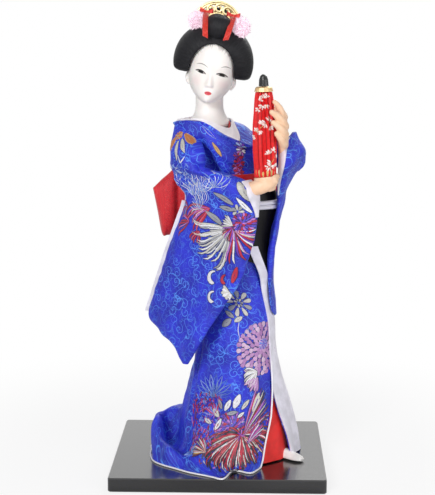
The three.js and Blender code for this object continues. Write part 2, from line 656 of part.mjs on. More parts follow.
const NAPE_SECTIONS = [[-12, 5, 4, 4], [-9, 9.5, 6, 7], [-3, 12.5, 6.5, 9], [4, 13, 6, 9], [8, 11, 5, 7]];
const capForm = (out) => ovalForm(HAIR_SECTIONS, 9, 20, 1, out);
const napeForm = () => ovalForm(NAPE_SECTIONS, 6, 12, 15.5);
const hairCap = () =>
  largest(cut(join(capForm(0), napeForm()), headRoom, faceOpening(), ear(1, GAP), ear(-1, GAP)));

const CREST_SECTIONS = [
  [20, 6, 5, 4], [24, 8.2, 8, 6], [29, 8.8, 8.6, 7], [33.5, 7.4, 7, 6], [36.3, 3.5, 3.2, 3],
];
const crestForm = (out = 0) => ovalForm(CREST_SECTIONS, 7, 16, -8.5, out);
const BUN_SECTIONS = [
  [22, 7, 5, 6], [26, 11, 7, 8], [31, 12, 7.5, 8.5], [35, 9, 6, 7], [37.5, 4, 3, 3],
];
const bunForm = (out = 0) => ovalForm(BUN_SECTIONS, 7, 16, 12, out);

// Comb: a half-round openwork plate that stands in the hair between the crest and the bun.
const COMB_RADIUS = 14.5;
const COMB_RIM = 2.4;
const COMB_THICKNESS = 1.5;
const COMB_Z = 28.5;
const COMB_Y = 1.6;
function comb() {
  const outline = new THREE.Shape().absarc(0, 0, COMB_RADIUS, 0, Math.PI).lineTo(COMB_RADIUS, 0);
  const windows = 5;
  const inner = 6.5;
  for (let k = 0; k < windows; k++) {
    const from = (Math.PI * (k + 0.12)) / windows;
    const to = (Math.PI * (k + 0.88)) / windows;
    const window = new THREE.Path().absarc(0, 0, COMB_RADIUS - COMB_RIM, from, to)
      .absarc(0, 0, inner, to, from, true);
    outline.holes.push(window.closePath());
  }
  const plate = new THREE.ExtrudeGeometry(outline, {
    depth: COMB_THICKNESS, bevelEnabled: false, curveSegments: 4 });
  return solid(plate.rotateX(Math.PI / 2).translate(0, COMB_Y + COMB_THICKNESS, COMB_Z));
}

// A hair ribbon: a strip that lies down one side of the crest.
const RIBBON_WIDTH = 3.6;
function ribbon(side, extra = 0) {
  const line = new THREE.CatmullRomCurve3([vec(side * 9.8, -6, 34), vec(side * 10.6, -12.4, 30),
    vec(side * 9.8, -17.4, 24.5), vec(side * 8.2, -19.8, 18.6)]);
  const across = vec(side * 0.9, -0.25, 0.3).normalize();
  const rows = Array.from({ length: 7 }, (_, j) => [-1, 0, 1].map((k) =>
    line.getPoint(j / 6).addScaledVector(across, side * k * (RIBBON_WIDTH / 2 + extra))));
  return sheet(rows, false, -LINING / 2 - extra, LINING / 2 + extra);
}

// A tulle blossom: a ball whose surface swells into petals.
function blossom(radius, petals) {
  const rings = 6;
  const sides = 15;
  return loft(Array.from({ length: rings }, (_, j) => {
    const rise = lerp(-0.46, 0.46, j / (rings - 1)) * Math.PI;
    return Array.from({ length: sides }, (_, i) => {
      const turn = (2 * Math.PI * i) / sides;
      const r = radius * (1 + 0.1 * Math.cos(petals * turn + j));
      const wide = r * Math.cos(rise);
      return vec(wide * Math.cos(turn), r * Math.sin(rise), wide * Math.sin(turn));
    });
  }));
}

// Parasol, in its own frame: the shaft along Z, the paper's lower edge at the origin.
const paperRadius = (z) =>
  lerp(PARASOL_FOOT_RADIUS, PARASOL_NECK_RADIUS, clamp(z / PARASOL_LENGTH, 0, 1));
function parasolPaper() {
  const sides = PARASOL_PLEATS * 4;
  const folded = loft([0, PARASOL_LENGTH].map((z) => {
    return Array.from({ length: sides }, (_, i) => {
      const turn = (2 * Math.PI * i) / sides;
      const r = paperRadius(z) - PARASOL_PLEAT_DEPTH * (0.5 - 0.5 * Math.cos(PARASOL_PLEATS * turn));
      return vec(r * Math.cos(turn), r * Math.sin(turn), z);
    });
  }));
  return cut(folded, turned([[0, -1], [SHAFT_RADIUS + GAP, -1], [SHAFT_RADIUS + GAP, PARASOL_LENGTH + 1],
    [0, PARASOL_LENGTH + 1]], 14));
}
const parasolShaft = () => turned([[0, -HANDLE_LENGTH], [SHAFT_RADIUS - 0.3, -HANDLE_LENGTH],
  [SHAFT_RADIUS, -HANDLE_LENGTH + 0.4], [SHAFT_RADIUS, PARASOL_LENGTH + BAND_HEIGHT + 2],
  [0, PARASOL_LENGTH + BAND_HEIGHT + 2]], 14);
function parasolBand() {
  const low = PARASOL_LENGTH + GAP;
  const high = low + BAND_HEIGHT;
  const bore = SHAFT_RADIUS + GAP;
  return turned([[bore, low], [PARASOL_NECK_RADIUS + 0.2, low], [PARASOL_NECK_RADIUS - 0.5, high - 0.6],
    [PARASOL_NECK_RADIUS - 1.6, high], [bore, high], [bore, low]], 24);
}
function parasolCap() {
  const low = PARASOL_LENGTH + BAND_HEIGHT + 2 * GAP;
  const bore = SHAFT_RADIUS + GAP;
  const pocket = PARASOL_LENGTH + BAND_HEIGHT + 2 + GAP;
  return turned([[0, pocket], [bore, pocket], [bore, low], [CAP_RADIUS, low],
    [CAP_RADIUS - 0.3, low + 0.55 * CAP_HEIGHT], [CAP_RADIUS - 1, low + 0.85 * CAP_HEIGHT],
    [CAP_RADIUS - 2.2, low + CAP_HEIGHT], [0, low + CAP_HEIGHT + 0.3]], 18);
}
function parasolRibTips() {
  const tip = (k) => {
    const turn = (2 * Math.PI * k) / 7 + 0.3;
    const ends = [2.2, 6.6].map((r) => vec(r * Math.cos(turn), r * Math.sin(turn), -0.95));
    return bar(ends, [0.55, 0.55], 5, 1);
  };
  const hub = turned([[SHAFT_RADIUS + GAP, -1.6], [3.2, -1.6], [3.2, -GAP], [SHAFT_RADIUS + GAP, -GAP],
    [SHAFT_RADIUS + GAP, -1.6]], 14);
  return join(hub, ...Array.from({ length: 7 }, (_, k) => tip(k)));
}

// Assembly
const doll = new THREE.Group();
const figure = new THREE.Group();
figure.position.z = BASE_HEIGHT;
doll.add(figure);
const headGroup = new THREE.Group();
headGroup.position.set(HEAD_X, HEAD_Y, HEAD_HEIGHT);
headGroup.rotation.y = HEAD_ROLL;
figure.add(headGroup);
const parasolGroup = new THREE.Group();
parasolGroup.position.set(PARASOL_X, PARASOL_Y, PARASOL_HEIGHT);
parasolGroup.rotation.y = PARASOL_ROLL;
figure.add(parasolGroup);

// The room that the hands and sleeves leave for the parasol.
function parasolRoom() {
  const shaft = SHAFT_RADIUS + GAP;
  const paper = PARASOL_FOOT_RADIUS + 2 * GAP;
  const low = -HANDLE_LENGTH - 1;
  const high = PARASOL_LENGTH + 30;
  const upright = turned([[0, low], [shaft, low], [shaft, -2.2], [paper, -2.2], [paper, high], [0, high]], 20);
  const leaning = solid(geometryOf(upright).rotateY(PARASOL_ROLL));
  return moved(leaning, PARASOL_X, PARASOL_Y, PARASOL_HEIGHT);
}
const paperTool = parasolRoom();

add(doll, "base_board", basePlinth(), LACQUER);
add(doll, "base_screw", baseScrew(), STEEL);
add(figure, "support_post", supportPost(), WOOD);

const post = postRod(GAP);
const feet = { left_foot: [LEFT_HEEL, LEFT_TOE], right_foot: [RIGHT_HEEL, RIGHT_TOE] };
for (const [name, [heel, toe]] of Object.entries(feet))
  add(figure, name, foot(heel, toe), WHITE_SILK);
const feetTools = Object.values(feet).map(([heel, toe]) => foot(heel, toe, GAP));

const underOut = -CLOTH - GAP;
const coreOut = underOut - LINING - GAP;
const legsTop = SKIRT_TOP;
const stuffing = bodyForm(ANKLE_TOP + GAP, legsTop, coreOut - GAP, 20, 8);
add(figure, "skirt_stuffing", cut(stuffing, post), FOAM);
const underOutside = bodyForm(1, UNDER_ROBE_TOP, underOut, 20, 4);
const underInside = bodyForm(-1, UNDER_ROBE_TOP + 1, coreOut + GAP, 20, 4);
add(figure, "under_robe", cut(underOutside, underInside, ...feetTools), RED_SILK);
add(figure, "robe_skirt", cut(sheet(skirtGrid(), false, -CLOTH, 0), ...feetTools), BLUE_SILK);

// Piping: a white cord down the robe's front edge and along the hem to the back of the train.
const PIPING_RADIUS = 0.8;
const PIPING_OFF = PIPING_RADIUS + GAP + 0.2;
function pipingLine() {
  const points = [];
  for (let k = 0; k < 9; k++) {
    const v = lerp(0.3, 0.94, k / 8);
    const turn = rad(through(FRONT_EDGE, skirtHeight(v))[0]);
    const edge = skirtPoint(turn, v);
    edge.addScaledVector(vec(Math.cos(turn), Math.sin(turn), 0), PIPING_OFF + LINING + GAP);
    points.push(edge);
  }
  for (let k = 0; k < 16; k++) {
    const turn = rad(lerp(-66, -215, k / 15));
    const edge = skirtPoint(turn, 1);
    edge.addScaledVector(vec(Math.cos(turn), Math.sin(turn), 0), PIPING_OFF).setZ(PIPING_RADIUS + GAP);
    points.push(edge);
  }
  return points;
}
const skirtTool = sheet(skirtGrid(), false, -CLOTH - GAP, GAP);
const piping = bar(pipingLine(), [PIPING_RADIUS, PIPING_RADIUS], 4, 38);
add(figure, "hem_piping", largest(cut(piping, skirtTool)), WHITE_SILK);

// Torso, neck socket and arms
const armTools = [arm(RIGHT_ARM, GAP), arm(LEFT_ARM, GAP)];
const socketBottom = NECK_FLARE_HEIGHT - 2 - PEG_LENGTH - 1;
const socketTop = NECK_FLARE_HEIGHT - 2 - GAP;
const socketBore = PEG_RADIUS + PEG_CLEARANCE;
const socketOuter = socketBore + SOCKET_WALL;
const socketFloor = socketBottom - 1.2;
const socket = turned([[0, socketFloor], [socketOuter, socketFloor], [socketOuter, socketTop],
  [socketBore, socketTop], [socketBore, socketBottom], [0, socketBottom]], 16);
add(figure, "neck_socket", moved(socket, NECK_X, NECK_Y, 0), WOOD);
const socketRoom = turned([[0, socketFloor - GAP], [socketOuter + GAP, socketFloor - GAP],
  [socketOuter + GAP, NECK_FLARE_HEIGHT + 20], [0, NECK_FLARE_HEIGHT + 20]], 16);
const socketTool = moved(socketRoom, NECK_X, NECK_Y, 0);
const torsoLow = [legsTop + GAP, 160].map((height) => ringOnBody(height, -TUCK, BODICE_SIDES));
const torsoHigh = [1, 2, 4, 5, 6, 7].map((row) => bodiceGrid[row]);
const torso = swollen([...torsoLow, ...torsoHigh], -CLOTH - 3 * GAP);
add(figure, "torso_stuffing", largest(cut(torso, post, socketTool, neckForm(GAP))), FOAM);

// Bodice and collars
const armholes = [RIGHT_ARM, LEFT_ARM].map(([shoulder, next]) => {
  const away = next.clone().sub(shoulder).normalize();
  const ends = [shoulder.clone().addScaledVector(away, -4), next.clone().addScaledVector(away, 4)];
  return bar(ends, [ARM_RADIUS + 1.2, ARM_RADIUS + 1.2], 8, 1);
});
add(figure, "robe_bodice", cut(sheet(bodiceGrid, true, -CLOTH, 0), ...armholes), BLUE_SILK);
const bodiceTool = bodiceForm(GAP);
const sashTop = OBI_TOP + GAP + SCARF_HEIGHT;

// A collar band between two rings round the neck, each given as how far out, how high and how far it dips.
function collarPoint(turn, radius, height, dip, reach) {
  const front = bell(turnBetween(turn, COLLAR_POINT_TURN), 0, 0.42);
  const r = radius + reach * front;
  return vec(NECK_X + r * Math.cos(turn), NECK_Y + r * Math.sin(turn),
    height - dip * front - 0.06 * r * Math.cos(turn));
}
function collar(inner, outer) {
  const rows = 2;
  return sheet(grid(BODICE_SIDES, rows + 1, (i, j) => {
    const turn = (2 * Math.PI * i) / BODICE_SIDES;
    return collarPoint(turn, ...outer).lerp(collarPoint(turn, ...inner), j / rows);
  }), true, 0, LINING);
}
const COLLAR_FOOT = NECK_FLARE_HEIGHT + 3.1;
const whiteRings = [[15, COLLAR_FOOT + 1, 5, 3], [16.4, COLLAR_FOOT, 11.6, 8]];
const redRings = [[13.4, COLLAR_FOOT + 1.8, 4, 1.4], [14, COLLAR_FOOT, 4.6, 2.2]];
add(figure, "white_collar", collar(...whiteRings), WHITE_SILK);
add(figure, "red_collar", collar(...redRings), RED_SILK);

// Sash: a wide band, a cord over it, a scarf above it and a bow behind
add(figure, "sash", bodyBand(OBI_BOTTOM, OBI_TOP, GAP, OBI_THICKNESS, 5), BLACK_SATIN);
const cordInner = GAP + OBI_THICKNESS + 1.5 * GAP;
const ridges = (share) => 0.4 * Math.cos(2 * Math.PI * share);
const cordLow = CORD_HEIGHT - CORD_WIDTH / 2;
const cord = bodyBand(cordLow, cordLow + CORD_WIDTH, cordInner, CORD_THICKNESS, 2, ridges);
add(figure, "sash_cord", cord, WHITE_SILK);
const scarfBulge = (share) => 0.5 * Math.sin(Math.PI * share);
add(figure, "sash_scarf", bodyBand(OBI_TOP + GAP, sashTop, GAP, SCARF_THICKNESS, 2, scarfBulge), RED_SILK);

// Front lining: the turned-out edge of the robe, a strip that widens from the sash to the hem.
// Rows of the share of the way up, width in degrees and distance off the skirt.
const LINING_STRIP = [[0, 22, GAP], [0.3, 28, GAP], [0.57, 34, GAP], [0.75, 28, GAP], [0.88, 20, GAP],
  [0.93, 16, 2.6], [1, 10, 2.6]];
const LINING_COLUMNS = 7;
const LINING_ROWS = 13;
const liningOff = (j) => through(LINING_STRIP, j / (LINING_ROWS - 1))[1];
const liningGrid = grid(LINING_COLUMNS, LINING_ROWS, (i, j) => {
  const up = j / (LINING_ROWS - 1);
  const v = 0.985 - 0.985 * up;
  const height = skirtHeight(v);
  const start = through(FRONT_EDGE, height)[0] + through(OPENING, height)[0] + 1;
  return skirtPoint(rad(start + (through(LINING_STRIP, up)[0] * i) / (LINING_COLUMNS - 1) - 360), v);
});
const liningStrip = sheet(liningGrid, false, (i, j) => liningOff(j), (i, j) => liningOff(j) + LINING);
add(figure, "front_lining", cut(liningStrip, ...feetTools), WHITE_SILK);

// Bow: two folded loops, a knot and a hanging tail behind the sash
const BOW_X = -1;
const BOW_Y = 23;
const BOW_HEIGHT = 168;
const BOW_TURN = rad(14);
const BOW_SPAN = 44;
function bowLoop(side) {
  // Share of the span, half-height and half-depth of each section.
  const sections = [
    [0.08, 4, 3], [0.3, 11, 5.5], [0.6, 16, 7], [0.85, 18, 6], [0.97, 16, 3.5], [1, 13, 1.5],
  ];
  const along = vec(side * Math.cos(BOW_TURN), side * Math.sin(BOW_TURN), 0);
  const deep = vec(-Math.sin(BOW_TURN), Math.cos(BOW_TURN), 0);
  return loft(sections.map(([share, tall, thick]) => Array.from({ length: 14 }, (_, i) => {
    const turn = (2 * Math.PI * i) / 14;
    const droop = -6 * share * share;
    return vec(BOW_X, BOW_Y, BOW_HEIGHT + droop).addScaledVector(along, share * BOW_SPAN)
      .addScaledVector(deep, thick * Math.sin(turn)).add(vec(0, 0, tall * Math.cos(turn)));
  })));
}
const sashForm = bodyForm(OBI_BOTTOM - 2, sashTop + 2, cordInner + CORD_THICKNESS + 3 * GAP, 20, 4);
const KNOT_RADIUS = 6.5;
const knot = (extra = 0) => solid(new THREE.SphereGeometry(KNOT_RADIUS + extra, 14, 8)
  .scale(1, 0.9, 1.35).translate(BOW_X, BOW_Y, BOW_HEIGHT));
const knotTool = knot(GAP);
add(figure, "bow_knot", cut(knot(), sashForm), RED_SILK);
const loops = { bow_left_loop: -1, bow_right_loop: 1 };
for (const [name, side] of Object.entries(loops))
  add(figure, name, largest(cut(bowLoop(side), sashForm, knotTool, bodiceTool)), RED_SILK);

// Sleeves, arms and hands
const skirtForm = bodyForm(KNEE_HEIGHT, SKIRT_TOP, 5, 20, 4);
const handTools = [rightHand(GAP), leftHand(GAP)];
const torsoTool = bodiceForm(-CLOTH);
add(figure, "right_arm", largest(cut(arm(RIGHT_ARM), torsoTool, sashForm, handTools[0])), FOAM);
add(figure, "left_arm", largest(cut(arm(LEFT_ARM), torsoTool, sashForm, handTools[1])), FOAM);
const wristTools = [
  bar([vec(17, -29, 177), vec(30, -31, 177)], [5.2, 6.4], 8, 1),
  bar([vec(42, -19, 188), vec(42, -25, 203)], [5, 5], 8, 1),
];
const dressTools = [bodiceTool, sashForm, skirtForm, ...armTools, ...wristTools, paperTool];
add(figure, "right_sleeve", largest(cut(sleeveForm(RIGHT_SLEEVE), ...dressTools)), BLUE_SILK);
const upperSleeve = bar([vec(17, 4, upBodice(31)), vec(30, 4, upBodice(28)), vec(46, -1, 193)],
  [9, 9.5, 9], 10, 3);
const leftSleeve = join(sleeveForm(LEFT_SLEEVE), upperSleeve);
add(figure, "left_sleeve", largest(cut(leftSleeve, ...dressTools)), BLUE_SILK);
// The lining that shows at a sleeve's cuff: a strip across one end of its sections, between two heights.
function cuffLining(rows, end, bottom, top, shown) {
  const steps = 6;
  return sheet(grid(4, steps + 1, (i, j) => {
    const height = lerp(bottom, top, j / steps);
    const [x0, y0, x1, y1, thickness] = through(rows, height);
    const along = vec(x1 - x0, y1 - y0, 0).normalize();
    const beside = vec(-along.y, along.x, 0);
    const tip = end ? vec(x1, y1, height) : vec(x0, y0, height);
    const share = (i / 3 - 0.5) * (end ? -1 : 1);
    return tip.addScaledVector(along, (end ? 1 : -1) * (GAP + shown * (0.25 - share * share)))
      .addScaledVector(beside, share * thickness * 0.8);
  }), false, -LINING, 0);
}
const rightCuff = cut(cuffLining(RIGHT_SLEEVE, 1, 158, 182, 5), sleeveForm(RIGHT_SLEEVE, GAP), handTools[0]);
add(figure, "right_cuff_lining", largest(cut(rightCuff, ...dressTools)), WHITE_SILK);
const leftCuff = cut(cuffLining(LEFT_SLEEVE, 0, 172, 210, 2), sleeveForm(LEFT_SLEEVE, GAP));
add(figure, "left_cuff_lining", largest(cut(leftCuff, ...dressTools)), WHITE_SILK);
add(figure, "right_hand", cut(rightHand(), paperTool), HAND_SKIN);
add(figure, "left_hand", cut(leftHand(), paperTool), HAND_SKIN);

// Head, wig and hair ornaments
const crestTool = crestForm(GAP);
const capTool = capForm(GAP);
const combTool = solid(new THREE.BoxGeometry(2 * COMB_RADIUS + 2 * GAP, COMB_THICKNESS + 2 * GAP, 30)
  .translate(0, COMB_Y + COMB_THICKNESS / 2, COMB_Z + 15 - GAP));
add(headGroup, "head", headCasting(), SKIN);
add(headGroup, "hair_cap", largest(cut(hairCap(), crestTool, bunForm(GAP), combTool)), HAIR);
add(headGroup, "hair_crest", largest(cut(crestForm(), headRoom, combTool)), HAIR);
add(headGroup, "hair_bun", largest(cut(bunForm(), headRoom, combTool)), HAIR);
add(headGroup, "comb", comb(), GOLD);
const ribbons = { left_ribbon: -1, right_ribbon: 1 };
for (const [name, side] of Object.entries(ribbons))
  add(headGroup, name, largest(cut(ribbon(side), crestTool, capTool)), RED_SILK);
const ornamentTools = [capTool, crestTool, combTool, ribbon(-1, GAP), ribbon(1, GAP)];
const blossoms = { left_blossom: [-15.8, -4, 29.8, 5.2], right_blossom: [15.8, -3.6, 29.8, 5.6] };
for (const [name, [x, y, z, radius]] of Object.entries(blossoms)) {
  const tuft = moved(blossom(radius, 6), x, y, z);
  add(headGroup, name, largest(cut(tuft, ...ornamentTools)), PINK_TULLE);
}

// Parasol
add(parasolGroup, "parasol_shaft", parasolShaft(), WOOD);
add(parasolGroup, "parasol_paper", parasolPaper(), RED_PAPER);
add(parasolGroup, "parasol_band", parasolBand(), GOLD);
add(parasolGroup, "parasol_cap", parasolCap(), BLACK_PLASTIC);
add(parasolGroup, "parasol_ribs", parasolRibTips(), WOOD);
export default doll;
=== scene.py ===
"""A standing costume doll in a blue brocade robe, with a closed paper parasol, on a lacquered plinth."""
import math

import bmesh
import bpy
import numpy as np
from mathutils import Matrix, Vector


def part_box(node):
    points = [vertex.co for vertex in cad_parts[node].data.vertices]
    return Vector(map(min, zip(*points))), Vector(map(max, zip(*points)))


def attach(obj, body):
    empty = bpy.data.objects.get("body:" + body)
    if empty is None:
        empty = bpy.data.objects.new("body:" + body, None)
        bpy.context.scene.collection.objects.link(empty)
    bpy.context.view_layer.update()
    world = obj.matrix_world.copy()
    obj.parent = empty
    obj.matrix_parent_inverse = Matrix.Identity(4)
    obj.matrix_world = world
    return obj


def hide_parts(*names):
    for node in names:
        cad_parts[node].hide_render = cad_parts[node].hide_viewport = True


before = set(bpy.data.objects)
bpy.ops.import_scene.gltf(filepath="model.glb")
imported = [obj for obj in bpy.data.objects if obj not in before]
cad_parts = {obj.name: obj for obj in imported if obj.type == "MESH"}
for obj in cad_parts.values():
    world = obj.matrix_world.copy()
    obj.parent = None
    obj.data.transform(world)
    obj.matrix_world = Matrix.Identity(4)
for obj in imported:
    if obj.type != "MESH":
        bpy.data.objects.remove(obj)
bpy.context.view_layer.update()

bl_info = {
    "name": "Costume doll",
    "version": (1, 0, 0),
    "blender": (4, 5, 0),
    "location": "View3D > Sidebar > Doll",
    "description": "Dresses a standing costume doll round its packed frame",
    "category": "Add Mesh",
}

MM = 0.001
PLINTH_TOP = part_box("base_board")[1].z / MM
UV_NAME = "cloth"
UV_SCALE = 0.01  # of a uv unit in a millimetre


# Numbers and lines

def lerp(a, b, t):
    return a + (b - a) * t


def bell(x, middle, width):
    return np.exp(-(((x - middle) / width) ** 2))


def smooth(x, low, high):
    t = np.clip((x - low) / (high - low), 0, 1)
    return t * t * (3 - 2 * t)


def turn_between(a, b):
    return np.arctan2(np.sin(a - b), np.cos(a - b))


def full_turn(sides):
    return np.linspace(0, 2 * np.pi, sides + 1)


def round_body(sides):
    """A full turn from -X, the doll's right side, and back to it, as a row."""
    return np.linspace(-np.pi, np.pi, sides + 1)[None]


def xyz(x, y, z):
    """Points from three arrays or numbers, spread to one shape."""
    return np.stack(np.broadcast_arrays(x, y, z), axis=-1)


def through(rows, at):
    """Smooth values through rows of [position, values...], at one position or many, values first."""
    rows = np.asarray(rows, float)
    x, y = rows[:, 0], rows[:, 1:]
    last = len(x) - 1
    before = np.r_[0, np.arange(last)]
    after = np.r_[np.arange(1, last + 1), last]
    slope = (y[after] - y[before]) / (x[after] - x[before])[:, None]
    at = np.asarray(at, float)
    i = np.clip(np.searchsorted(x, at, side="left") - 1, 0, last - 1)
    span = (x[i + 1] - x[i])[..., None]
    t = np.clip((at[..., None] - x[i][..., None]) / span, 0, 1)
    t2, t3 = t * t, t * t * t
    made = ((2 * t3 - 3 * t2 + 1) * y[i] + (t3 - 2 * t2 + t) * slope[i] * span
            + (3 * t2 - 2 * t3) * y[i + 1] + (t3 - t2) * slope[i + 1] * span)
    return np.moveaxis(made, -1, 0)


def line_through(points, steps):
    """A smooth line of that many steps through points."""
    points = np.asarray(points, float)
    rows = np.c_[np.arange(len(points)), points]
    return through(rows, np.linspace(0, len(points) - 1, steps)).T


def srgb(red, green, blue):
    """A colour as it looks on a screen, from 0 to 255, as light."""
    share = np.array([red, green, blue]) / 255
    return tuple(np.where(share <= 0.04045, share / 12.92, ((share + 0.055) / 1.055) ** 2.4))


def tone(colour, share):
    """A colour made darker or lighter."""
    return tuple(min(1.0, share * c) for c in colour)


# Meshes

def unit(v):
    return v / np.maximum(np.linalg.norm(v, axis=-1, keepdims=True), 1e-9)


def grid_faces(rows, columns, first=0):
    j, i = np.mgrid[0:rows - 1, 0:columns - 1]
    a = (j * columns + i).ravel() + first
    return np.stack([a, a + 1, a + columns + 1, a + columns], 1)


def grid_normals(points, closed):
    up = np.gradient(points, axis=0)
    if closed:
        around = np.concatenate([points[:, -2:-1], points, points[:, 1:2]], axis=1)
        along = (around[:, 2:] - around[:, :-2]) / 2
    else:
        along = np.gradient(points, axis=1)
    return unit(np.cross(along, up))


def lay_uv(mesh, uv):
    """A uv map from a place in millimetres for each point."""
    layer = mesh.uv_layers.new(name=UV_NAME)
    index = np.empty(len(mesh.loops), np.int32)
    mesh.loops.foreach_get("vertex_index", index)
    layer.data.foreach_set("uv", (np.asarray(uv, float)[index] * UV_SCALE).astype(np.float32).ravel())


def mesh_piece(name, points, faces, look, uv=None, sharp=50, merge=True):
    """A piece from points in millimetres, with doubles merged and faces turned outwards."""
    mesh = bpy.data.meshes.new(name)
    mesh.from_pydata((np.asarray(points, float) * MM).tolist(), [], [list(map(int, f)) for f in faces])
    if uv is not None:
        lay_uv(mesh, uv)
    form = bmesh.new()
    form.from_mesh(mesh)
    if merge:
        bmesh.ops.remove_doubles(form, verts=form.verts, dist=1e-7)
    bmesh.ops.recalc_face_normals(form, faces=form.faces)
    form.to_mesh(mesh)
    form.free()
    return piece_of(name, mesh, look, sharp)


def piece_of(name, mesh, look, sharp=50):
    mesh.polygons.foreach_set("use_smooth", [True] * len(mesh.polygons))
    mesh.set_sharp_from_angle(angle=math.radians(sharp))
    mesh.materials.clear()
    mesh.materials.append(look)
    piece = bpy.data.objects.new(name, mesh)
    bpy.context.scene.collection.objects.link(piece)
    return piece


def lengths(points, column=0):
    """A grid's uv in millimetres: lengths along its rows from one column, and up that column."""
    across = np.linalg.norm(np.diff(points, axis=1), axis=2)
    u = np.concatenate([np.zeros((len(points), 1)), np.cumsum(across, axis=1)], axis=1)
    u -= u[:, column:column + 1]
    up = np.linalg.norm(np.diff(points[:, column], axis=0), axis=1)
    v = np.r_[0, np.cumsum(up)]
    return np.stack([u, np.broadcast_to(v[:, None], u.shape)], axis=2)


def shell(name, points, look, inner, outer, uv, closed=False):
    """A closed skin of cloth: a grid of points pushed in and out along its normals."""
    rows, columns = points.shape[:2]
    normal = grid_normals(points, closed)
    count = rows * columns

    def side(offset):
        return (points + normal * np.broadcast_to(offset, (rows, columns))[..., None]).reshape(-1, 3)
    faces = [grid_faces(rows, columns), grid_faces(rows, columns, count)[:, ::-1]]
    edges = [np.arange(columns), np.arange(columns)[::-1] + (rows - 1) * columns]
    if not closed:
        edges += [np.arange(rows)[::-1] * columns, np.arange(rows) * columns + columns - 1]
    for edge in edges:
        a, b = edge[:-1], edge[1:]
        faces.append(np.stack([a, a + count, b + count, b], 1))
    flat = np.tile(uv.reshape(-1, 2), (2, 1))
    return mesh_piece(name, np.r_[side(outer), side(inner)], np.concatenate(faces), look, flat)


def skin(name, rings, look, uv=None, sharp=50):
    """A closed form from rings of points, the last point of a ring on its first, with its ends closed."""
    rows, columns = rings.shape[:2]
    points = [*rings.reshape(-1, 3), rings[0, :-1].mean(0), rings[-1, :-1].mean(0)]
    faces = grid_faces(rows, columns).tolist()
    count = rows * columns
    top = count - columns
    faces += [[count, i + 1, i] for i in range(columns - 1)]
    faces += [[count + 1, top + i, top + i + 1] for i in range(columns - 1)]
    flat = None if uv is None else [*uv.reshape(-1, 2), uv[0].mean(0), uv[-1].mean(0)]
    return mesh_piece(name, points, faces, look, flat, sharp)


def rings_along(line, radii, sides):
    """Rings of points round a line, each of its own radius."""
    line = np.asarray(line, float)
    ahead = unit(np.gradient(line, axis=0))
    start = np.array([0, 0, 1.0]) if abs(ahead[0, 2]) < 0.8 else np.array([0, 1.0, 0])
    beside = [unit(np.cross(ahead[0], start))]
    for a in ahead[1:]:
        beside.append(unit(beside[-1] - a * (beside[-1] @ a)))
    beside = np.array(beside)
    over = np.cross(ahead, beside)
    turn = full_turn(sides)
    radii = np.broadcast_to(radii, len(line))[:, None, None]
    return (line[:, None] + radii * np.cos(turn)[None, :, None] * beside[:, None]
            + radii * np.sin(turn)[None, :, None] * over[:, None])


def limb_rings(points, radii, sides=20, steps=26):
    """Rings of a round-ended limb through points, with a radius at each share of its length."""
    line = line_through(points, steps)
    shares = np.linspace(0, 1, len(radii))
    radius = through(np.c_[shares, radii], np.linspace(0, 1, steps))[0]
    ends = np.radians([15, 35, 60])
    first = unit(line[0] - line[1])
    last = unit(line[-1] - line[-2])
    low = [(line[0] + first * radius[0] * np.cos(a), radius[0] * np.sin(a)) for a in ends]
    high = [(line[-1] + last * radius[-1] * np.cos(a), radius[-1] * np.sin(a)) for a in ends[::-1]]
    whole = np.array([p for p, _ in low] + list(line) + [p for p, _ in high])
    return rings_along(whole, np.r_[[r for _, r in low], radius, [r for _, r in high]], sides)


def oval_rings(rows, steps, sides, y=0.0):
    """Rings from rows of height, half-width and how far the front and the back reach."""
    z = np.linspace(rows[0][0], rows[-1][0], steps)
    half, front, back = through(rows, z)
    turn = full_turn(sides)
    deep = np.where(np.sin(turn)[None] < 0, front[:, None], back[:, None])
    return xyz(half[:, None] * np.cos(turn), y + deep * np.sin(turn), z[:, None])


def plain(piece, name, look):
    """The piece as its modifiers leave it, as a plain mesh."""
    bpy.context.view_layer.update()
    shown = piece.evaluated_get(bpy.context.evaluated_depsgraph_get())
    mesh = bpy.data.meshes.new_from_object(shown)
    bpy.data.objects.remove(piece)
    return piece_of(name, mesh, look)


def fused(name, forms, look, voxel, rounds, cuts=()):
    """One even skin round several closed forms, with other forms cut out of it."""
    whole = bmesh.new()
    for form in forms:
        whole.from_mesh(form.data)
        bpy.data.objects.remove(form)
    mesh = bpy.data.meshes.new(name)
    whole.to_mesh(mesh)
    whole.free()
    piece = piece_of(name + "_rough", mesh, look)

    def even(size):
        remesh = piece.modifiers.new("even", "REMESH")
        remesh.mode = "VOXEL"
        remesh.voxel_size = size * MM
    even(voxel)
    for cut in cuts:
        carve = piece.modifiers.new("carve", "BOOLEAN")
        carve.operation = "DIFFERENCE"
        carve.solver = "EXACT"
        carve.object = cut
    if cuts:
        even(voxel)
    soften = piece.modifiers.new("soften", "SMOOTH")
    soften.factor = 0.5
    soften.iterations = rounds
    made = plain(piece, name, look)
    for cut in cuts:
        bpy.data.objects.remove(cut)
    return made


def places(piece):
    """A piece's points in millimetres."""
    flat = np.empty(3 * len(piece.data.vertices), np.float32)
    piece.data.vertices.foreach_get("co", flat)
    return flat.reshape(-1, 3).astype(float) / MM


def move_points(piece, points):
    piece.data.vertices.foreach_set("co", (points * MM).astype(np.float32).ravel())
    piece.data.update()


def store(piece, name, values):
    """Values for each point, which a material reads by name."""
    layer = piece.data.attributes.new(name, "FLOAT_VECTOR", "POINT")
    layer.data.foreach_set("vector", np.asarray(values, np.float32).ravel())


def settle(piece, body, slot, *nodes):
    """The piece rides on a body and stands for CAD nodes, if any, which are hidden; the slot is not used."""
    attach(piece, body)
    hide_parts(*nodes)
    return piece


# Node trees

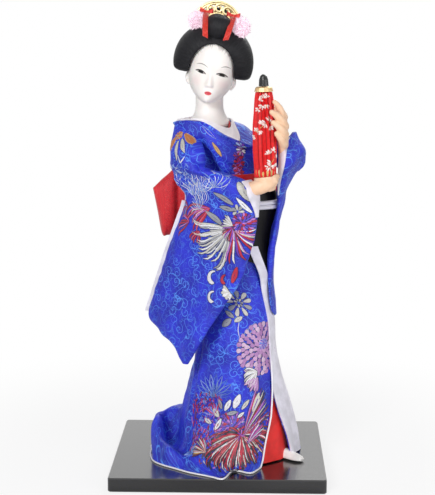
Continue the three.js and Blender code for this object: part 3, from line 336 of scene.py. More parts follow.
def arithmetic(operation, turned=False):
    """A wire's operator, with its two values in turned order where the wire comes second."""
    def act(self, other):
        return self.tree.math(operation, *((other, self) if turned else (self, other)))
    return act


class Wire:
    """A socket's value in a node tree, with arithmetic."""

    def __init__(self, tree, socket):
        self.tree = tree
        self.socket = socket

    __add__ = arithmetic("ADD")
    __radd__ = arithmetic("ADD", True)
    __sub__ = arithmetic("SUBTRACT")
    __rsub__ = arithmetic("SUBTRACT", True)
    __mul__ = arithmetic("MULTIPLY")
    __rmul__ = arithmetic("MULTIPLY", True)
    __truediv__ = arithmetic("DIVIDE")

    def __abs__(self):
        return self.tree.math("ABSOLUTE", self)


class Nodes:
    """A node tree. Any node comes from node()."""

    def __init__(self, tree):
        self.tree = tree

    def node(self, kind, settings=None, inputs=None, output=0):
        made = self.tree.nodes.new(kind)
        for key, value in (settings or {}).items():
            if key == "stops":
                ramp = made.color_ramp
                while len(ramp.elements) < len(value):
                    ramp.elements.new(1.0)
                for element, (at, colour) in zip(ramp.elements, value):
                    element.position = at
                    element.color = (*colour, 1.0)
            else:
                setattr(made, key, value)
        for key, value in (inputs or {}).items():
            if isinstance(value, Wire):
                self.tree.links.new(value.socket, made.inputs[key])
            else:
                made.inputs[key].default_value = value
        return Wire(self, made.outputs[output]) if made.outputs else None

    def math(self, operation, *values):
        return self.node("ShaderNodeMath", {"operation": operation}, dict(enumerate(values)))

    def vector(self, operation, *values, output=0):
        return self.node("ShaderNodeVectorMath", {"operation": operation}, dict(enumerate(values)), output)

    def split(self, vector):
        return [self.node("ShaderNodeSeparateXYZ", None, {0: vector}, k) for k in range(3)]

    def join(self, x, y, z=0.0):
        return self.node("ShaderNodeCombineXYZ", None, {0: x, 1: y, 2: z})

    def mix(self, share, a, b):
        """A colour between two colours."""
        full = [c if isinstance(c, Wire) else (*c, 1.0) for c in (a, b)]
        return self.node("ShaderNodeMix", {"data_type": "RGBA"}, {0: share, 6: full[0], 7: full[1]}, 2)

    def ramp(self, value, low, high, start=0.0, end=1.0):
        """A smooth step from start to end as value goes from low to high."""
        return self.node("ShaderNodeMapRange", {"interpolation_type": "SMOOTHSTEP"},
                         {0: value, 1: low, 2: high, 3: start, 4: end})


class Finish(Nodes):
    """A material and its nodes."""

    def __init__(self, name):
        self.material = bpy.data.materials.new(name)
        self.material.use_nodes = True
        super().__init__(self.material.node_tree)
        self.tree.nodes.clear()

    def here(self):
        """The place on the piece, in millimetres."""
        place = self.node("ShaderNodeTexCoord", None, None, "Object")
        return self.vector("MULTIPLY", place, (1 / MM,) * 3)

    def on_cloth(self):
        """The place on the cloth, in millimetres."""
        place = self.node("ShaderNodeUVMap", {"uv_map": UV_NAME})
        return self.vector("MULTIPLY", place, (1 / UV_SCALE,) * 3)

    def stored(self, name):
        return self.node("ShaderNodeAttribute", {"attribute_name": name}, None, "Vector")

    def noise(self, place, scale, detail=2.0, dimensions="3D"):
        return self.node("ShaderNodeTexNoise", {"noise_dimensions": dimensions},
                         {"Vector": place, "Scale": scale, "Detail": detail})

    def weave(self, place, threads):
        """Crossed threads, from 0 to 1, at that many in a millimetre."""
        x, y, _ = self.split(place)
        step = 2 * math.pi * threads
        return (self.math("SINE", x * step) * self.math("SINE", y * step)) * 0.5 + 0.5

    def bump(self, height, depth, strength=1.0):
        """A normal from a height of 0 to 1, that deep in millimetres."""
        return self.node("ShaderNodeBump", None,
                         {"Height": height, "Distance": depth * MM, "Strength": strength})

    def surface(self, colour, rough, normal=None, **constants):
        """The material, from a colour and roughness that may vary and constants set on the shader itself."""
        inputs = {}
        for key, value in constants.items():
            socket = key.replace("_", " ").title().replace("Ior", "IOR")
            inputs[socket] = (*value, 1.0) if isinstance(value, tuple) else value
        inputs["Base Color"] = colour if isinstance(colour, Wire) else (*colour, 1.0)
        inputs["Roughness"] = rough
        if normal is not None:
            inputs["Normal"] = normal
        shader = self.node("ShaderNodeBsdfPrincipled", None, inputs)
        self.node("ShaderNodeOutputMaterial", None, {"Surface": shader})
        return self.material


# Finishes

def cloth_finish(name, colour, rough=0.5, threads=3.0, folds=0.0, sheen=0.3):
    """Plain woven cloth, with a little unevenness."""
    n = Finish(name)
    place = n.on_cloth()
    uneven = n.noise(place, 0.11, 3.0, "2D")
    weave = n.weave(place, threads)
    shade = n.mix(n.ramp(uneven, 0.3, 0.7), tone(colour, 0.86), tone(colour, 1.06))
    height = weave * 0.35 + uneven * folds
    normal = n.bump(height, 0.12, 0.5)
    return n.surface(shade, uneven * 0.15 + (rough - 0.07), normal,
                     sheen_weight=sheen, sheen_roughness=0.4, specular_ior_level=0.4)


def scrolls_of(n, place, size):
    """Curling vines: coils at scattered places, and thin wandering stems."""
    cell = {"Vector": place, "Scale": 1 / size, "Randomness": 0.7}
    settings = {"voronoi_dimensions": "2D"}
    spot = n.node("ShaderNodeTexVoronoi", settings, cell, "Position")
    tint = n.node("ShaderNodeTexVoronoi", settings, cell, "Color")
    local = n.vector("SUBTRACT", place, spot)
    x, y, _ = n.split(local)
    chance, hand, _ = n.split(tint)
    far = n.vector("LENGTH", local, output="Value") / (0.5 * size)
    turn = n.math("ARCTAN2", y, x) * (0.5 / math.pi)
    side = n.math("GREATER_THAN", hand, 0.5) * 2.0 - 1.0
    coil = n.math("FRACT", far * 1.7 + turn * side + chance)
    coils = n.ramp(abs(coil - 0.5), 0.045, 0.1, 1.0, 0.0) * n.ramp(far, 0.72, 0.95, 1.0, 0.0)
    wander = n.noise(place, 0.75 / size, 1.5, "2D")
    stems = n.ramp(abs(wander - 0.5), 0.004, 0.014, 1.0, 0.0)
    twigs = n.ramp(abs(n.noise(place, 2.2 / size, 1.0, "2D") - 0.47), 0.006, 0.02, 1.0, 0.0)
    return n.math("MAXIMUM", n.math("MAXIMUM", coils, stems), twigs * 0.6)


def brocade_finish(name, ground):
    """Blue silk brocade with curling vines in a lighter blue."""
    n = Finish(name)
    place = n.on_cloth()
    scrolls = scrolls_of(n, place, 8.5)
    uneven = n.noise(place, 0.06, 3.0, "2D")
    slub = n.noise(n.join(*n.split(n.vector("MULTIPLY", place, (0.5, 6.0, 1.0)))[:2]), 1.0, 2.0, "2D")
    dark, light = tone(ground, 0.58), tone(ground, 1.2)
    colour = n.mix(n.ramp(uneven, 0.3, 0.7) * 0.6 + n.ramp(slub, 0.3, 0.7) * 0.4, dark, light)
    faint = n.ramp(n.noise(place, 0.045, 1.0, "2D"), 0.36, 0.6, 0.3, 1.0)
    colour = n.mix(scrolls * faint, colour, srgb(88, 148, 242))
    weave = n.weave(place, 2.6)
    normal = n.bump(scrolls * 0.5 + weave * 0.25 + slub * 0.5, 0.22, 0.7)
    return n.surface(colour, 0.4 + uneven * 0.1, normal, sheen_weight=0.1, sheen_roughness=0.35,
                     sheen_tint=srgb(150, 170, 255), specular_ior_level=0.3)


def thread_finish(name):
    """Raised silk threads, each stroke in the colour that its points store."""
    n = Finish(name)
    colour = n.stored("thread")
    place = n.here()
    twist = n.noise(place, 2.2, 2.0)
    shade = n.mix(n.ramp(twist, 0.35, 0.65), n.vector("MULTIPLY", colour, (0.72,) * 3), colour)
    return n.surface(shade, 0.42, n.bump(twist, 0.1, 0.5), sheen_weight=0.2, sheen_roughness=0.4,
                     specular_ior_level=0.5)


def red_brocade_finish(name, ground):
    """Red silk with a small lighter diaper and curls."""
    n = Finish(name)
    place = n.on_cloth()
    scrolls = scrolls_of(n, place, 3.6)
    fine = n.noise(place, 1.1, 2.0, "2D")
    colour = n.mix(n.ramp(fine, 0.35, 0.65), tone(ground, 0.7), ground)
    colour = n.mix(scrolls * 0.45, colour, srgb(240, 96, 92))
    height = scrolls * 0.4 + n.weave(place, 2.4) * 0.4
    return n.surface(colour, 0.5 - scrolls * 0.12, n.bump(height, 0.15, 0.6), sheen_weight=0.3,
                     sheen_roughness=0.4, specular_ior_level=0.4)


def satin_finish(name, colour):
    """Smooth satin with faint upright ribs, and upright streaks of painted sheen that also vary its
    roughness.
    """
    n = Finish(name)
    place = n.on_cloth()
    x, y, _ = n.split(place)
    painted_sheen_streak = n.noise(n.join(x * 0.5, y * 0.02), 1.0, 3.0, "2D")
    rib = n.math("SINE", x * 9.0) * 0.5 + 0.5
    # painted sheen: the upright streaks lighten the black satin the way a highlight would
    shade = n.mix(n.ramp(painted_sheen_streak, 0.35, 0.7), colour, tone(colour, 2.0))
    normal = n.bump(rib * 0.3 + painted_sheen_streak, 0.15, 0.5)
    return n.surface(shade, painted_sheen_streak * 0.16 + 0.3, normal, specular_ior_level=0.12)


def lacquer_finish(name, colour):
    """Polished black lacquer, with the faint waves and dust of a sprayed board."""
    n = Finish(name)
    place = n.here()
    wave = n.noise(place, 0.03, 2.0)
    dust = n.ramp(n.noise(place, 1.6, 3.0), 0.66, 0.78)
    return n.surface(n.mix(dust * 0.35, colour, srgb(66, 66, 68)), wave * 0.06 + dust * 0.1 + 0.2,
                     n.bump(wave, 0.3, 0.25), specular_ior_level=0.5, coat_weight=0.9, coat_roughness=0.14)


def wood_finish(name, light, dark, rough=0.55):
    """Straight-grained turned wood."""
    n = Finish(name)
    x, y, z = n.split(n.here())
    grain = n.noise(n.join(x * 1.6, y * 1.6, z * 0.06), 1.0, 4.0)
    shade = n.mix(n.ramp(grain, 0.3, 0.7), dark, light)
    return n.surface(shade, grain * 0.2 + rough - 0.1, n.bump(grain, 0.1, 0.6))


def metal_finish(name, colour, rough=0.3, pitted=0.25):
    """Metal with fine wear in its polish."""
    n = Finish(name)
    place = n.here()
    worn = n.noise(place, 0.9, 4.0)
    fine = n.noise(place, 4.0, 2.0)
    shade = n.mix(n.ramp(worn, 0.35, 0.7), tone(colour, 0.8), colour)
    return n.surface(shade, worn * pitted + rough - 0.1, n.bump(fine, 0.05, 0.4), metallic=1.0)


def moulded_finish(name, colour, rough=0.4):
    """Moulded plastic with a faint grain."""
    n = Finish(name)
    place = n.here()
    grain = n.noise(place, 2.5, 3.0)
    cloud = n.noise(place, 0.12, 2.0)
    shade = n.mix(n.ramp(cloud, 0.3, 0.7), tone(colour, 0.92), colour)
    return n.surface(shade, grain * 0.1 + rough - 0.05, n.bump(grain, 0.04, 0.4), specular_ior_level=0.45)


def stroke(n, x, z, points, half):
    """A painted stroke along a parabola through three points, thickest in its middle."""
    (x0, z0), (x1, z1), (x2, z2) = points
    a, b, c = np.polyfit([x0, x1, x2], [z0, z1, z2], 2)
    middle = (x0 + x2) / 2
    length = abs(x2 - x0) / 2
    curve = (x * a + b) * x + c
    share = abs(x - middle) / length
    width = (1.0 - share * share) * half + 0.02
    return n.ramp(abs(z - curve) / width, 0.55, 1.1, 1.0, 0.0) * n.ramp(share, 0.9, 1.0, 1.0, 0.0)


def face_finish(name, skin_colour, lip_colour):
    """Painted face: off-white skin, faint blush, thin brows, narrow eyes and small red lips."""
    n = Finish(name)
    x, y, z = n.split(n.stored("face"))
    front = n.ramp(y, -9.0, -6.0, 1.0, 0.0)
    cloud = n.noise(n.here(), 0.16, 2.0)
    colour = n.mix(n.ramp(cloud, 0.3, 0.7), tone(skin_colour, 0.96), skin_colour)

    def spot(cx, cz, wide, tall):
        dx, dz = (x - cx) / wide, (z - cz) / tall
        return n.math("SQRT", dx * dx + dz * dz)
    for side in (-1, 1):
        blush = n.ramp(spot(side * 8.5, -5.8, 6.0, 5.0), 0.1, 1.0, 0.2, 0.0)
        colour = n.mix(blush * front, colour, srgb(238, 178, 182))
    ink = srgb(30, 24, 26)
    for cx, cz, slope, half in ((-6.4, -0.25, -0.22, 3.3), (7.0, -0.45, -0.12, 3.6)):
        dx = (x - cx) / half
        dz = z - cz - (x - cx) * slope
        lens = 1.0 - dx * dx
        upper = lens * 1.15
        lower = lens * -0.62
        inside = n.ramp(upper - dz, -0.06, 0.1) * n.ramp(dz - lower, -0.06, 0.1)
        inside = inside * n.ramp(abs(dx), 0.92, 1.0, 1.0, 0.0)
        iris = n.ramp(abs(dx), 0.42, 0.52, 1.0, 0.0)
        white = n.mix(iris, srgb(176, 168, 166), srgb(12, 9, 10))
        colour = n.mix(inside * front, colour, white)
        lid = n.ramp(abs(dz - upper), 0.16, 0.42, 1.0, 0.0) * n.ramp(abs(dx), 0.95, 1.12, 1.0, 0.0)
        under = n.ramp(abs(dz - lower), 0.05, 0.2, 0.55, 0.0) * n.ramp(abs(dx), 0.85, 1.0, 1.0, 0.0)
        colour = n.mix(n.math("MAXIMUM", lid, under) * front, colour, ink)
    brows = (((-10.1, 4.1), (-6.0, 4.8), (-1.9, 2.7)), ((5.4, 4.1), (8.6, 5.2), (12.0, 4.3)))
    for points in brows:
        colour = n.mix(stroke(n, x, z, points, 0.34) * front * 0.75, colour, srgb(70, 62, 62))
    lips = n.ramp(spot(0.1, -12.5, 2.35, 1.25), 0.82, 1.02, 1.0, 0.0)
    parting = stroke(n, x, z, ((-2.5, -11.95), (0.1, -12.35), (2.7, -11.95)), 0.2)
    colour = n.mix(lips * front, colour, lip_colour)
    colour = n.mix(parting * front * 0.6, colour, srgb(120, 30, 40))
    wide, tall, middle = FACE_OPENING
    around = spot(0.0, middle, wide, tall)
    strands = n.noise(n.join(n.math("ARCTAN2", x, z - middle) * 14.0, around * 1.6), 1.0, 2.0, "2D")
    hairline = n.ramp(strands, 0.56, 0.62) * n.ramp(around, 0.8, 1.0) * n.ramp(z, 8.0, 13.0) * front
    colour = n.mix(hairline * 0.5, colour, srgb(70, 66, 66))
    return n.surface(colour, cloud * 0.1 + 0.34, n.bump(n.noise(n.here(), 3.0, 2.0), 0.03, 0.3),
                     specular_ior_level=0.4, subsurface_weight=0.05, subsurface_scale=0.002)


def hand_finish(name, colour):
    """Painted flesh, warmer in soft random patches."""
    n = Finish(name)
    place = n.here()
    cloud = n.noise(place, 0.25, 3.0)
    shade = n.mix(n.ramp(cloud, 0.3, 0.7), tuple(c * k for c, k in zip(colour, (0.97, 0.9, 0.82))), colour)
    normal = n.bump(n.noise(place, 2.6, 2.0), 0.04, 0.3)
    return n.surface(shade, cloud * 0.1 + 0.36, normal, specular_ior_level=0.4)


def hair_finish(name, colour):
    """Black set fibre, combed along the lines that each point stores."""
    n = Finish(name)
    x, y, z = n.split(n.stored("comb_way"))
    fibre = n.noise(n.join(x * 5.0, y * 0.25, z * 0.25), 1.0, 4.0)
    lock = n.noise(n.join(x * 0.9, y * 0.08, z * 0.08), 1.0, 2.0)
    shade = n.mix(n.ramp(fibre, 0.35, 0.75), colour, tone(colour, 2.4))
    return n.surface(shade, lock * 0.2 + 0.34, n.bump(fibre * 0.6 + lock, 0.5, 0.7), specular_ior_level=0.16)


def paper_finish(name, colour):
    """Red paper with its fibres, and painted shade that darkens it down in the pleats."""
    n = Finish(name)
    place = n.on_cloth()
    fibre = n.noise(place, 0.6, 3.0, "2D")
    around, along, _ = n.split(place)
    turn = around / PAPER_UNROLLED - math.pi / 2 + along * (PLEAT_LEAN / PARASOL_LENGTH)
    step = n.math("FRACT", turn * (PLEATS / (2 * math.pi)) + PLEATS)
    # painted shade: the paper is darkened towards the bottom of each pleat, where shade falls
    painted_pleat_shade = n.ramp(abs(step - 0.5), 0.3, 0.5)
    shade = n.mix(n.ramp(fibre, 0.3, 0.7), tone(colour, 0.82), colour)
    shade = n.mix(painted_pleat_shade * 0.75, shade, tone(colour, 0.3))
    return n.surface(shade, fibre * 0.2 + 0.4, n.bump(fibre, 0.05, 0.4), specular_ior_level=0.4)


def tulle_finish(name, colour):
    """Fine net, paler where it is gathered, with a faint painted glow in place of light shining through it.
    """
    n = Finish(name)
    place = n.here()
    net = n.weave(n.join(*n.split(place)[:2]), 1.6) * n.noise(place, 1.5, 2.0)
    shade = n.mix(n.ramp(net, 0.1, 0.5), colour, srgb(255, 246, 252))
    # painted glow: a faint pink emission stands in for light passing through the tulle
    return n.surface(shade, 0.85, n.bump(net, 0.08, 0.4), sheen_weight=0.7, sheen_roughness=0.5,
                     specular_ior_level=0.2, emission_color=srgb(255, 232, 243), emission_strength=0.13)


# The dressed body. Rows of height above the plinth, centre x and y, and half-widths along x and y.

BODY = [
    [0, 12, -5, 37, 33], [16, 12, -4, 36, 32], [33, 11.5, -3, 33.5, 30], [51, 10.5, -2.5, 29, 27],
    [71, 10.5, -2, 25, 24], [91, 12.2, -1.5, 22.7, 21], [116, 12.5, -1, 20, 18.5],
    [141, 12.8, -0.5, 18.8, 17], [166, 10.5, 0, 18, 16], [184, 6, 1, 18, 15.5],
]
GAP = 0.3
CLOTH = 0.9
LINING = 0.7
SKIRT_TOP = 139.0
KNEE_HEIGHT = 34.0
HEM_HEIGHT = 0.9
KNEE_AT = 0.42
FOLD_DEPTH = 1.2
SASH_BOTTOM = 123.0
SASH_TOP = 178.0
SASH_THICKNESS = 1.6
SASH_SLANT = 10.0  # rise and fall of the sash's lower edge
CORD_HEIGHT = 165  # of the middle between the sash's two cords
SCARF_HEIGHT = 6
FOLDS_FROM = KNEE_AT * (SKIRT_TOP - SASH_BOTTOM + 2) / (SKIRT_TOP - KNEE_HEIGHT)
# Rows of turn, in degrees backwards, how far the flare reaches beyond the body, and the hem beyond the flare.
HEM_REACH = [
    [60, 1, 0], [66.5, 2, -0.5], [74, 4, 3.5], [80, 6, 4.5], [87, 9, -4], [93, 11, -9], [95.5, 12, -3.5],
    [98, 13, 6.5], [103, 14.5, 5], [113, 16.4, 2], [130, 16.6, 0.6], [144, 18, 0], [167, 19.4, 0],
    [180, 17.4, 0], [210, 15.5, 0], [240, 11, 0], [270, 6, 0], [330, 3, 0], [360, 1.5, 0], [424, 0.5, 0],
]
# The train's section: rows of the way down, reach and height, at its front, its rolled side and its back.
TRAIN_SCOOP = [
    [0, 0, 34], [0.15, 0.03, 22], [0.3, 0.1, 10], [0.45, 0.25, 4.5], [0.6, 0.5, 6], [0.72, 0.72, 10.5],
    [0.82, 0.88, 11], [0.92, 0.98, 6], [1, 1, 0.9],
]
TRAIN_ROLL = [
    [0, 0, 34], [0.16, 0.03, 22], [0.3, 0.1, 9], [0.42, 0.3, 4], [0.52, 0.52, 5], [0.6, 0.66, 11],
    [0.68, 0.8, 20], [0.76, 0.95, 23.5], [0.84, 1.08, 20], [0.92, 1.08, 10], [1, 1, 0.9],
]
TRAIN_BACK = [
    [0, 0, 34], [0.2, 0.15, 27], [0.4, 0.4, 24], [0.6, 0.72, 23.5], [0.72, 0.9, 22], [0.82, 1, 17],
    [0.91, 1.02, 9], [1, 1, 0.9],
]
FOLD_TURN = math.radians(-151)
SKIRT_MIDDLE = 0.912  # share of the way round at which the skirt's uv starts
# Rows of height and the turn of the robe's front edge, and of the opening beside it, in degrees.
FRONT_EDGE = [[0, -67], [16, -62], [31, -53], [49, -41], [71, -31], [91, -34.5], [116, -50], [139, -68]]
OPENING = [[0, 40], [16, 30], [33, 13], [51, 2], [139, 2]]


def on_body(turn, height, out=0.0):
    """Points on the body, or beyond it. Turn 0 is +X and -90 degrees is the front."""
    turn, height, out = np.broadcast_arrays(turn, height, out)
    x, y, a, b = through(BODY, height)
    return xyz(x + (a + out) * np.cos(turn), y + (b + out) * np.sin(turn), height + PLINTH_TOP)


def sash_hip(turn, height):
    """How far the sash stands off the leaning body on its left side."""
    return lerp(0.6, 7.4, smooth(height, 138, 174)) * bell(turn, -0.1, 0.7)


def body_rings(bottom, top, out, steps, sides=120):
    """Rings round the body between two heights."""
    return on_body(round_body(sides), np.linspace(bottom, top, steps)[:, None], out)


def skirt_height(v):
    """The straight height above the plinth at a share of the way down the skirt."""
    return np.where(v <= KNEE_AT, lerp(SKIRT_TOP, KNEE_HEIGHT, v / KNEE_AT),
                    lerp(KNEE_HEIGHT, 0, (v - KNEE_AT) / (1 - KNEE_AT)))


def skirt_point(turn, v):
    """Points of the skirt at turns and shares of the way down: folds, flare, hem and train."""
    ripple = 1.6 + np.sin(7 * turn + 0.6) + 0.6 * np.sin(11 * turn)
    folds = FOLD_DEPTH * np.maximum(v - FOLDS_FROM, 0) * ripple
    s = np.clip((v - KNEE_AT) / (1 - KNEE_AT), 0, 1)
    turn, s = np.broadcast_arrays(turn, s)
    back = np.degrees(-turn)
    reach, hem = through(HEM_REACH, back)
    fall = lerp(HEM_HEIGHT, KNEE_HEIGHT, (1 - s) ** (1 + reach / 30))
    train = smooth(back, 126, 146) * smooth(back, 252, 214)
    side = lerp(through(TRAIN_SCOOP, s), through(TRAIN_ROLL, s), smooth(back, 150, 176))
    share, rise = lerp(side, through(TRAIN_BACK, s), smooth(back, 184, 206))
    out = reach * lerp(s ** 1.5, share, train) + hem * s ** 6
    out -= 4.4 * bell(turn_between(turn, FOLD_TURN), 0, 0.07) * smooth(v, 0.2, 0.42) * (1 - s) ** 0.5
    height = np.where(v <= KNEE_AT, lerp(SKIRT_TOP, KNEE_HEIGHT, v / KNEE_AT), lerp(fall, rise, train))
    return on_body(turn, height, folds + out)


def skirt_grid(columns=250, rows=150):
    """The skirt's points from hem to top, and its uv from the middle of its front."""
    v = np.linspace(1, 0, rows)[:, None]
    height = skirt_height(v)
    start = through(FRONT_EDGE, height)[0]
    opening = through(OPENING, height)[0]
    share = np.linspace(0, 1, columns)[None]
    turn = np.radians(lerp(start + opening - 360, start, share))
    points = skirt_point(turn, v)
    uv = lengths(points, int(SKIRT_MIDDLE * columns))
    inside = smooth(share, 0, 0.06) * smooth(share, 1, 0.94)
    inside = inside * smooth(v, 0.98, 0.9) * smooth(v, FOLDS_FROM, 0.2)
    folds = inside * (0.75 * ripples(uv, 21, 24.0, 0.12) + 0.22 * ripples(uv, 22, 8.0, -0.4))
    return points + grid_normals(points, False) * folds[..., None], uv


# The bodice. Rows of the way up, centre x and y, half-widths and height above the plinth.

WAIST = through(BODY, 172.0)
TUCK = 0.5
BODICE = [
    [0, WAIST[0], WAIST[1], WAIST[2] - TUCK, WAIST[3] - TUCK, 172], [0.18, 6, 1, 18 - TUCK, 15.5 - TUCK, 184],
    [0.38, 2.5, 1, 22, 17.5, 194], [0.58, -0.5, 1.5, 24.5, 17.5, 203], [0.78, -3, 2, 24.5, 15.5, 210],
    [0.92, -5, 2.5, 20.5, 14, 215.5], [1, -6.5, 2.5, 15.5, 14.5, 217.5],
]
SEAM_TURN = 0.5
BODICE_MIDDLE = 0.68  # share of the way round at which the bodice's uv starts
COLLAR_TURN = math.radians(-46)
COLLAR_DIP = 12.0
ARM_HOLLOW = math.radians(-117)
# The overlapping front edge: rows of the way up and turn in degrees.
OVERLAP = [[0, -108], [0.11, -96], [0.32, -73], [0.6, -52], [1, -47]]
NECK = (-6.5, 2.5)


def collar_front(turn):
    """How far a turn is towards the point of the collar, from 0 to 1: steeper on the left side."""
    gone = turn_between(turn, COLLAR_TURN)
    return bell(gone, 0, np.where(gone < 0, 0.62, 0.4))


def bodice_point(turn, v):
    """Points of the bodice at turns and shares of the way up, dipped and spread at the collar."""
    x, y, a, b, height = through(BODICE, v)
    dip = collar_front(turn) * smooth(v, 0.5, 1)
    shoulder = 6.0 * bell(turn_between(turn, math.pi), 0, 0.75) * smooth(v, 0.8, 1)
    hollow = 15.0 * bell(turn_between(turn, ARM_HOLLOW), 0, 0.17) * bell(v, 0.31, 0.25)
    reach = 1 + 0.72 * dip
    slope = -0.1 * a * np.cos(turn) * smooth(v, 0.3, 0.8)
    wide = a * reach + shoulder - hollow
    deep = b * reach - hollow
    return xyz(x + wide * np.cos(turn), y + deep * np.sin(turn),
               height + 0.6 * slope - COLLAR_DIP * dip - 0.35 * shoulder + PLINTH_TOP)


def bodice_grid(columns=200, rows=70):
    """The bodice's points, its uv, and their turns and shares of the way up."""
    turn = np.linspace(SEAM_TURN, SEAM_TURN + 2 * np.pi, columns + 1)[None]
    v = np.linspace(0, 1, rows)[:, None]
    points = bodice_point(turn, v)
    uv = lengths(points, int(BODICE_MIDDLE * columns))
    share = np.linspace(0, 1, columns + 1)[None]
    folds = 0.35 * ripples(uv, 31, 10.0, 0.9) * smooth(v, 0.05, 0.25) * smooth(v, 1, 0.8)
    folds = folds * smooth(share, 0, 0.06) * smooth(share, 1, 0.94)
    points = points + grid_normals(points, True) * folds[..., None]
    return points, uv, np.broadcast_to(turn, points.shape[:2]), v


def collar_grid(red=False, columns=160, rows=11):
    """The white collar inside the neckline, or the red one inside that."""
    turn = np.linspace(SEAM_TURN, SEAM_TURN + 2 * np.pi, columns + 1)
    front = collar_front(turn)
    edge = bodice_point(turn, np.ones_like(turn))
    away = edge[:, :2] - NECK
    far = np.linalg.norm(away, axis=1)
    away /= far[:, None]

    def ring(radius, height):
        return np.c_[NECK + away * radius[:, None], height]
    inner = np.maximum(far - 1.8 - 7.2 * front, 13.6)
    inner_height = edge[:, 2] + 1.2 + 6.8 * front
    if red:
        shown = bell(turn_between(turn, math.radians(-30)), 0, 0.5)
        low = ring(inner - 0.6, inner_height - 2.2)
        high = ring(inner - 1.6, inner_height - 2.0 + 2.6 * shown)
    else:
        low = ring(far - 0.9, edge[:, 2] + 0.2)
        high = ring(inner, inner_height)
    share = np.linspace(0, 1, rows)[:, None, None]
    return lerp(low[None], high[None], share)


# Sleeves. Rows of height, the x and y of a section's two ends, and its thickness.

RIGHT_SLEEVE = [
    [65, -22.5, -26.5, -19.3, -29, 2.5], [68, -24.8, -22.5, -17.9, -30, 4], [75, -30.5, -13.5, -14.3, -31, 6],
    [82, -39.2, -3.2, -10.4, -31.5, 7], [86, -45, 0.3, -8, -32, 7.5], [91.5, -46.6, 3, -4.5, -32.3, 8],
    [103, -43, 4, 2.9, -33.3, 9], [117.5, -38.4, 3.5, 12.2, -34.5, 11], [132, -33.6, 2.3, 17.9, -34.5, 12.5],
    [147, -28, 0, 22.5, -33.8, 14], [157, -24.4, -1, 23.6, -33.2, 15], [164, -22, -2, 23, -33, 15.5],
    [170, -21.2, -3, 22, -32.7, 16], [175, -24.2, -4, 20.6, -32.3, 16.5], [180, -27.9, -5, 18.6, -31, 16],
    [184, -28.4, -5, 13, -28, 15], [188, -28.6, -4.8, -8.5, -25, 16], [194, -28.4, -4, -11, -25.5, 16],
    [201, -27.8, -3, -12.5, -22.5, 16], [208.5, -27.4, -1, -13, -11, 14], [213.8, -27.4, 0, -14.3, -3, 10],
    [216.4, -27.6, 0, -19, 0, 5],
]
SLEEVE_SIDES = 96
ELBOW = (-5.0, 184.0)  # x and height of the inside of the bent right elbow
LEFT_SLEEVE = [
    [92.5, 33.2, -8, 33.5, 2, 1.4], [97, 32.6, -12, 33, 2, 3], [114, 32.4, -14, 32.8, 2, 4.2],
    [134, 33.2, -15, 33.6, 1, 4.2], [150, 35.6, -15, 36, 1, 3], [159, 37, -15, 38.4, 2, 3.2],
    [167, 37.6, -16, 41, 2, 4.2], [173.5, 37.8, -18, 41.5, 1, 5.6], [181.5, 38.6, -21, 45, 0, 7.2],
    [190, 40.2, -25, 51, -4, 8.4], [195, 41, -26, 53.3, -6, 8.6], [200, 41.6, -26.5, 53, -8, 8],
    [206, 42.6, -24, 49.3, -10, 5], [211, 46.2, -18, 47.6, -12, 2],
]


def ripples(uv, seed, length, lean):
    """Soft folds over a cloth, from about -1 to 1: waves of about that length across a leaning direction."""
    chance = np.random.default_rng(seed)
    total = np.zeros(uv.shape[:-1])
    for _ in range(6):
        angle = lean + chance.normal(0, 0.3)
        step = 2 * np.pi / (length * chance.uniform(0.7, 1.5))
        across = uv[..., 0] * np.cos(angle) + uv[..., 1] * np.sin(angle)
        along = uv[..., 1] * np.cos(angle) - uv[..., 0] * np.sin(angle)
        bow = 1.3 * np.sin(0.3 * step * along + chance.uniform(0, 6.3))
        total += np.sin(step * across + bow + chance.uniform(0, 6.3))
    return total / 3


def elbow_folds(points):
    """How far the right sleeve puffs out between the creases that run from the inside of the elbow."""
    across = ELBOW[0] - points[..., 0]
    up = points[..., 2] - PLINTH_TOP - ELBOW[1]
    far = np.hypot(across, up)
    puffs = np.abs(np.sin(2.6 * np.arctan2(up, across) + 0.9 + 0.03 * far)) ** 0.45
    return 4.0 * (puffs - 0.75) * smooth(far, 1, 6) * smooth(far, 27, 12) * smooth(across, -3, 3)


def sleeve_cloth(name):
    """A sleeve's folded rings and their uv."""
    rows, seed = (RIGHT_SLEEVE, 5) if name == "right_sleeve" else (LEFT_SLEEVE, 9)
    rings, uv = sleeve_rings(rows)
    rings = outside_body(rings, 2.4)
    folds = 0.7 * ripples(uv, seed, 26.0, -0.35) + 0.22 * ripples(uv, seed + 1, 9.0, 0.5)
    folds = folds * smooth(rings[..., 2], rings[0, 0, 2], rings[0, 0, 2] + 12)
    if name == "right_sleeve":
        folds = folds + elbow_folds(rings)
    return rings + grid_normals(rings, True) * folds[..., None], uv


def sleeve_section(rows, height):
    """A sleeve's section at heights: its two ends, the way from the first to the last, and its thickness."""
    x0, y0, x1, y1, thick = through(rows, height)
    first, last = np.stack([x0, y0], axis=1), np.stack([x1, y1], axis=1)
    return first, last, unit(last - first), thick[:, None]


def sleeve_rings(rows, steps=130, sides=SLEEVE_SIDES):
    """A hanging bag's rings, and their uv as the cloth lies flat."""
    height = np.linspace(rows[0][0], rows[-1][0], steps)
    first, last, along, thick = sleeve_section(rows, height)
    middle = (first + last) / 2
    half = np.hypot(*(last - first).T) / 2
    turn = full_turn(sides)
    width = np.sign(np.cos(turn)) * np.abs(np.cos(turn)) ** 0.7
    flat = half[:, None] * width
    deep = thick / 2 * np.sin(turn)
    x = middle[:, :1] + along[:, :1] * flat - along[:, 1:] * deep
    y = middle[:, 1:] + along[:, 1:] * flat + along[:, :1] * deep
    rings = xyz(x, y, height[:, None] + PLINTH_TOP)
    plane = unit(along.mean(0))
    uv = np.stack([x * plane[0] + y * plane[1], rings[..., 2]], axis=2)
    return rings, uv


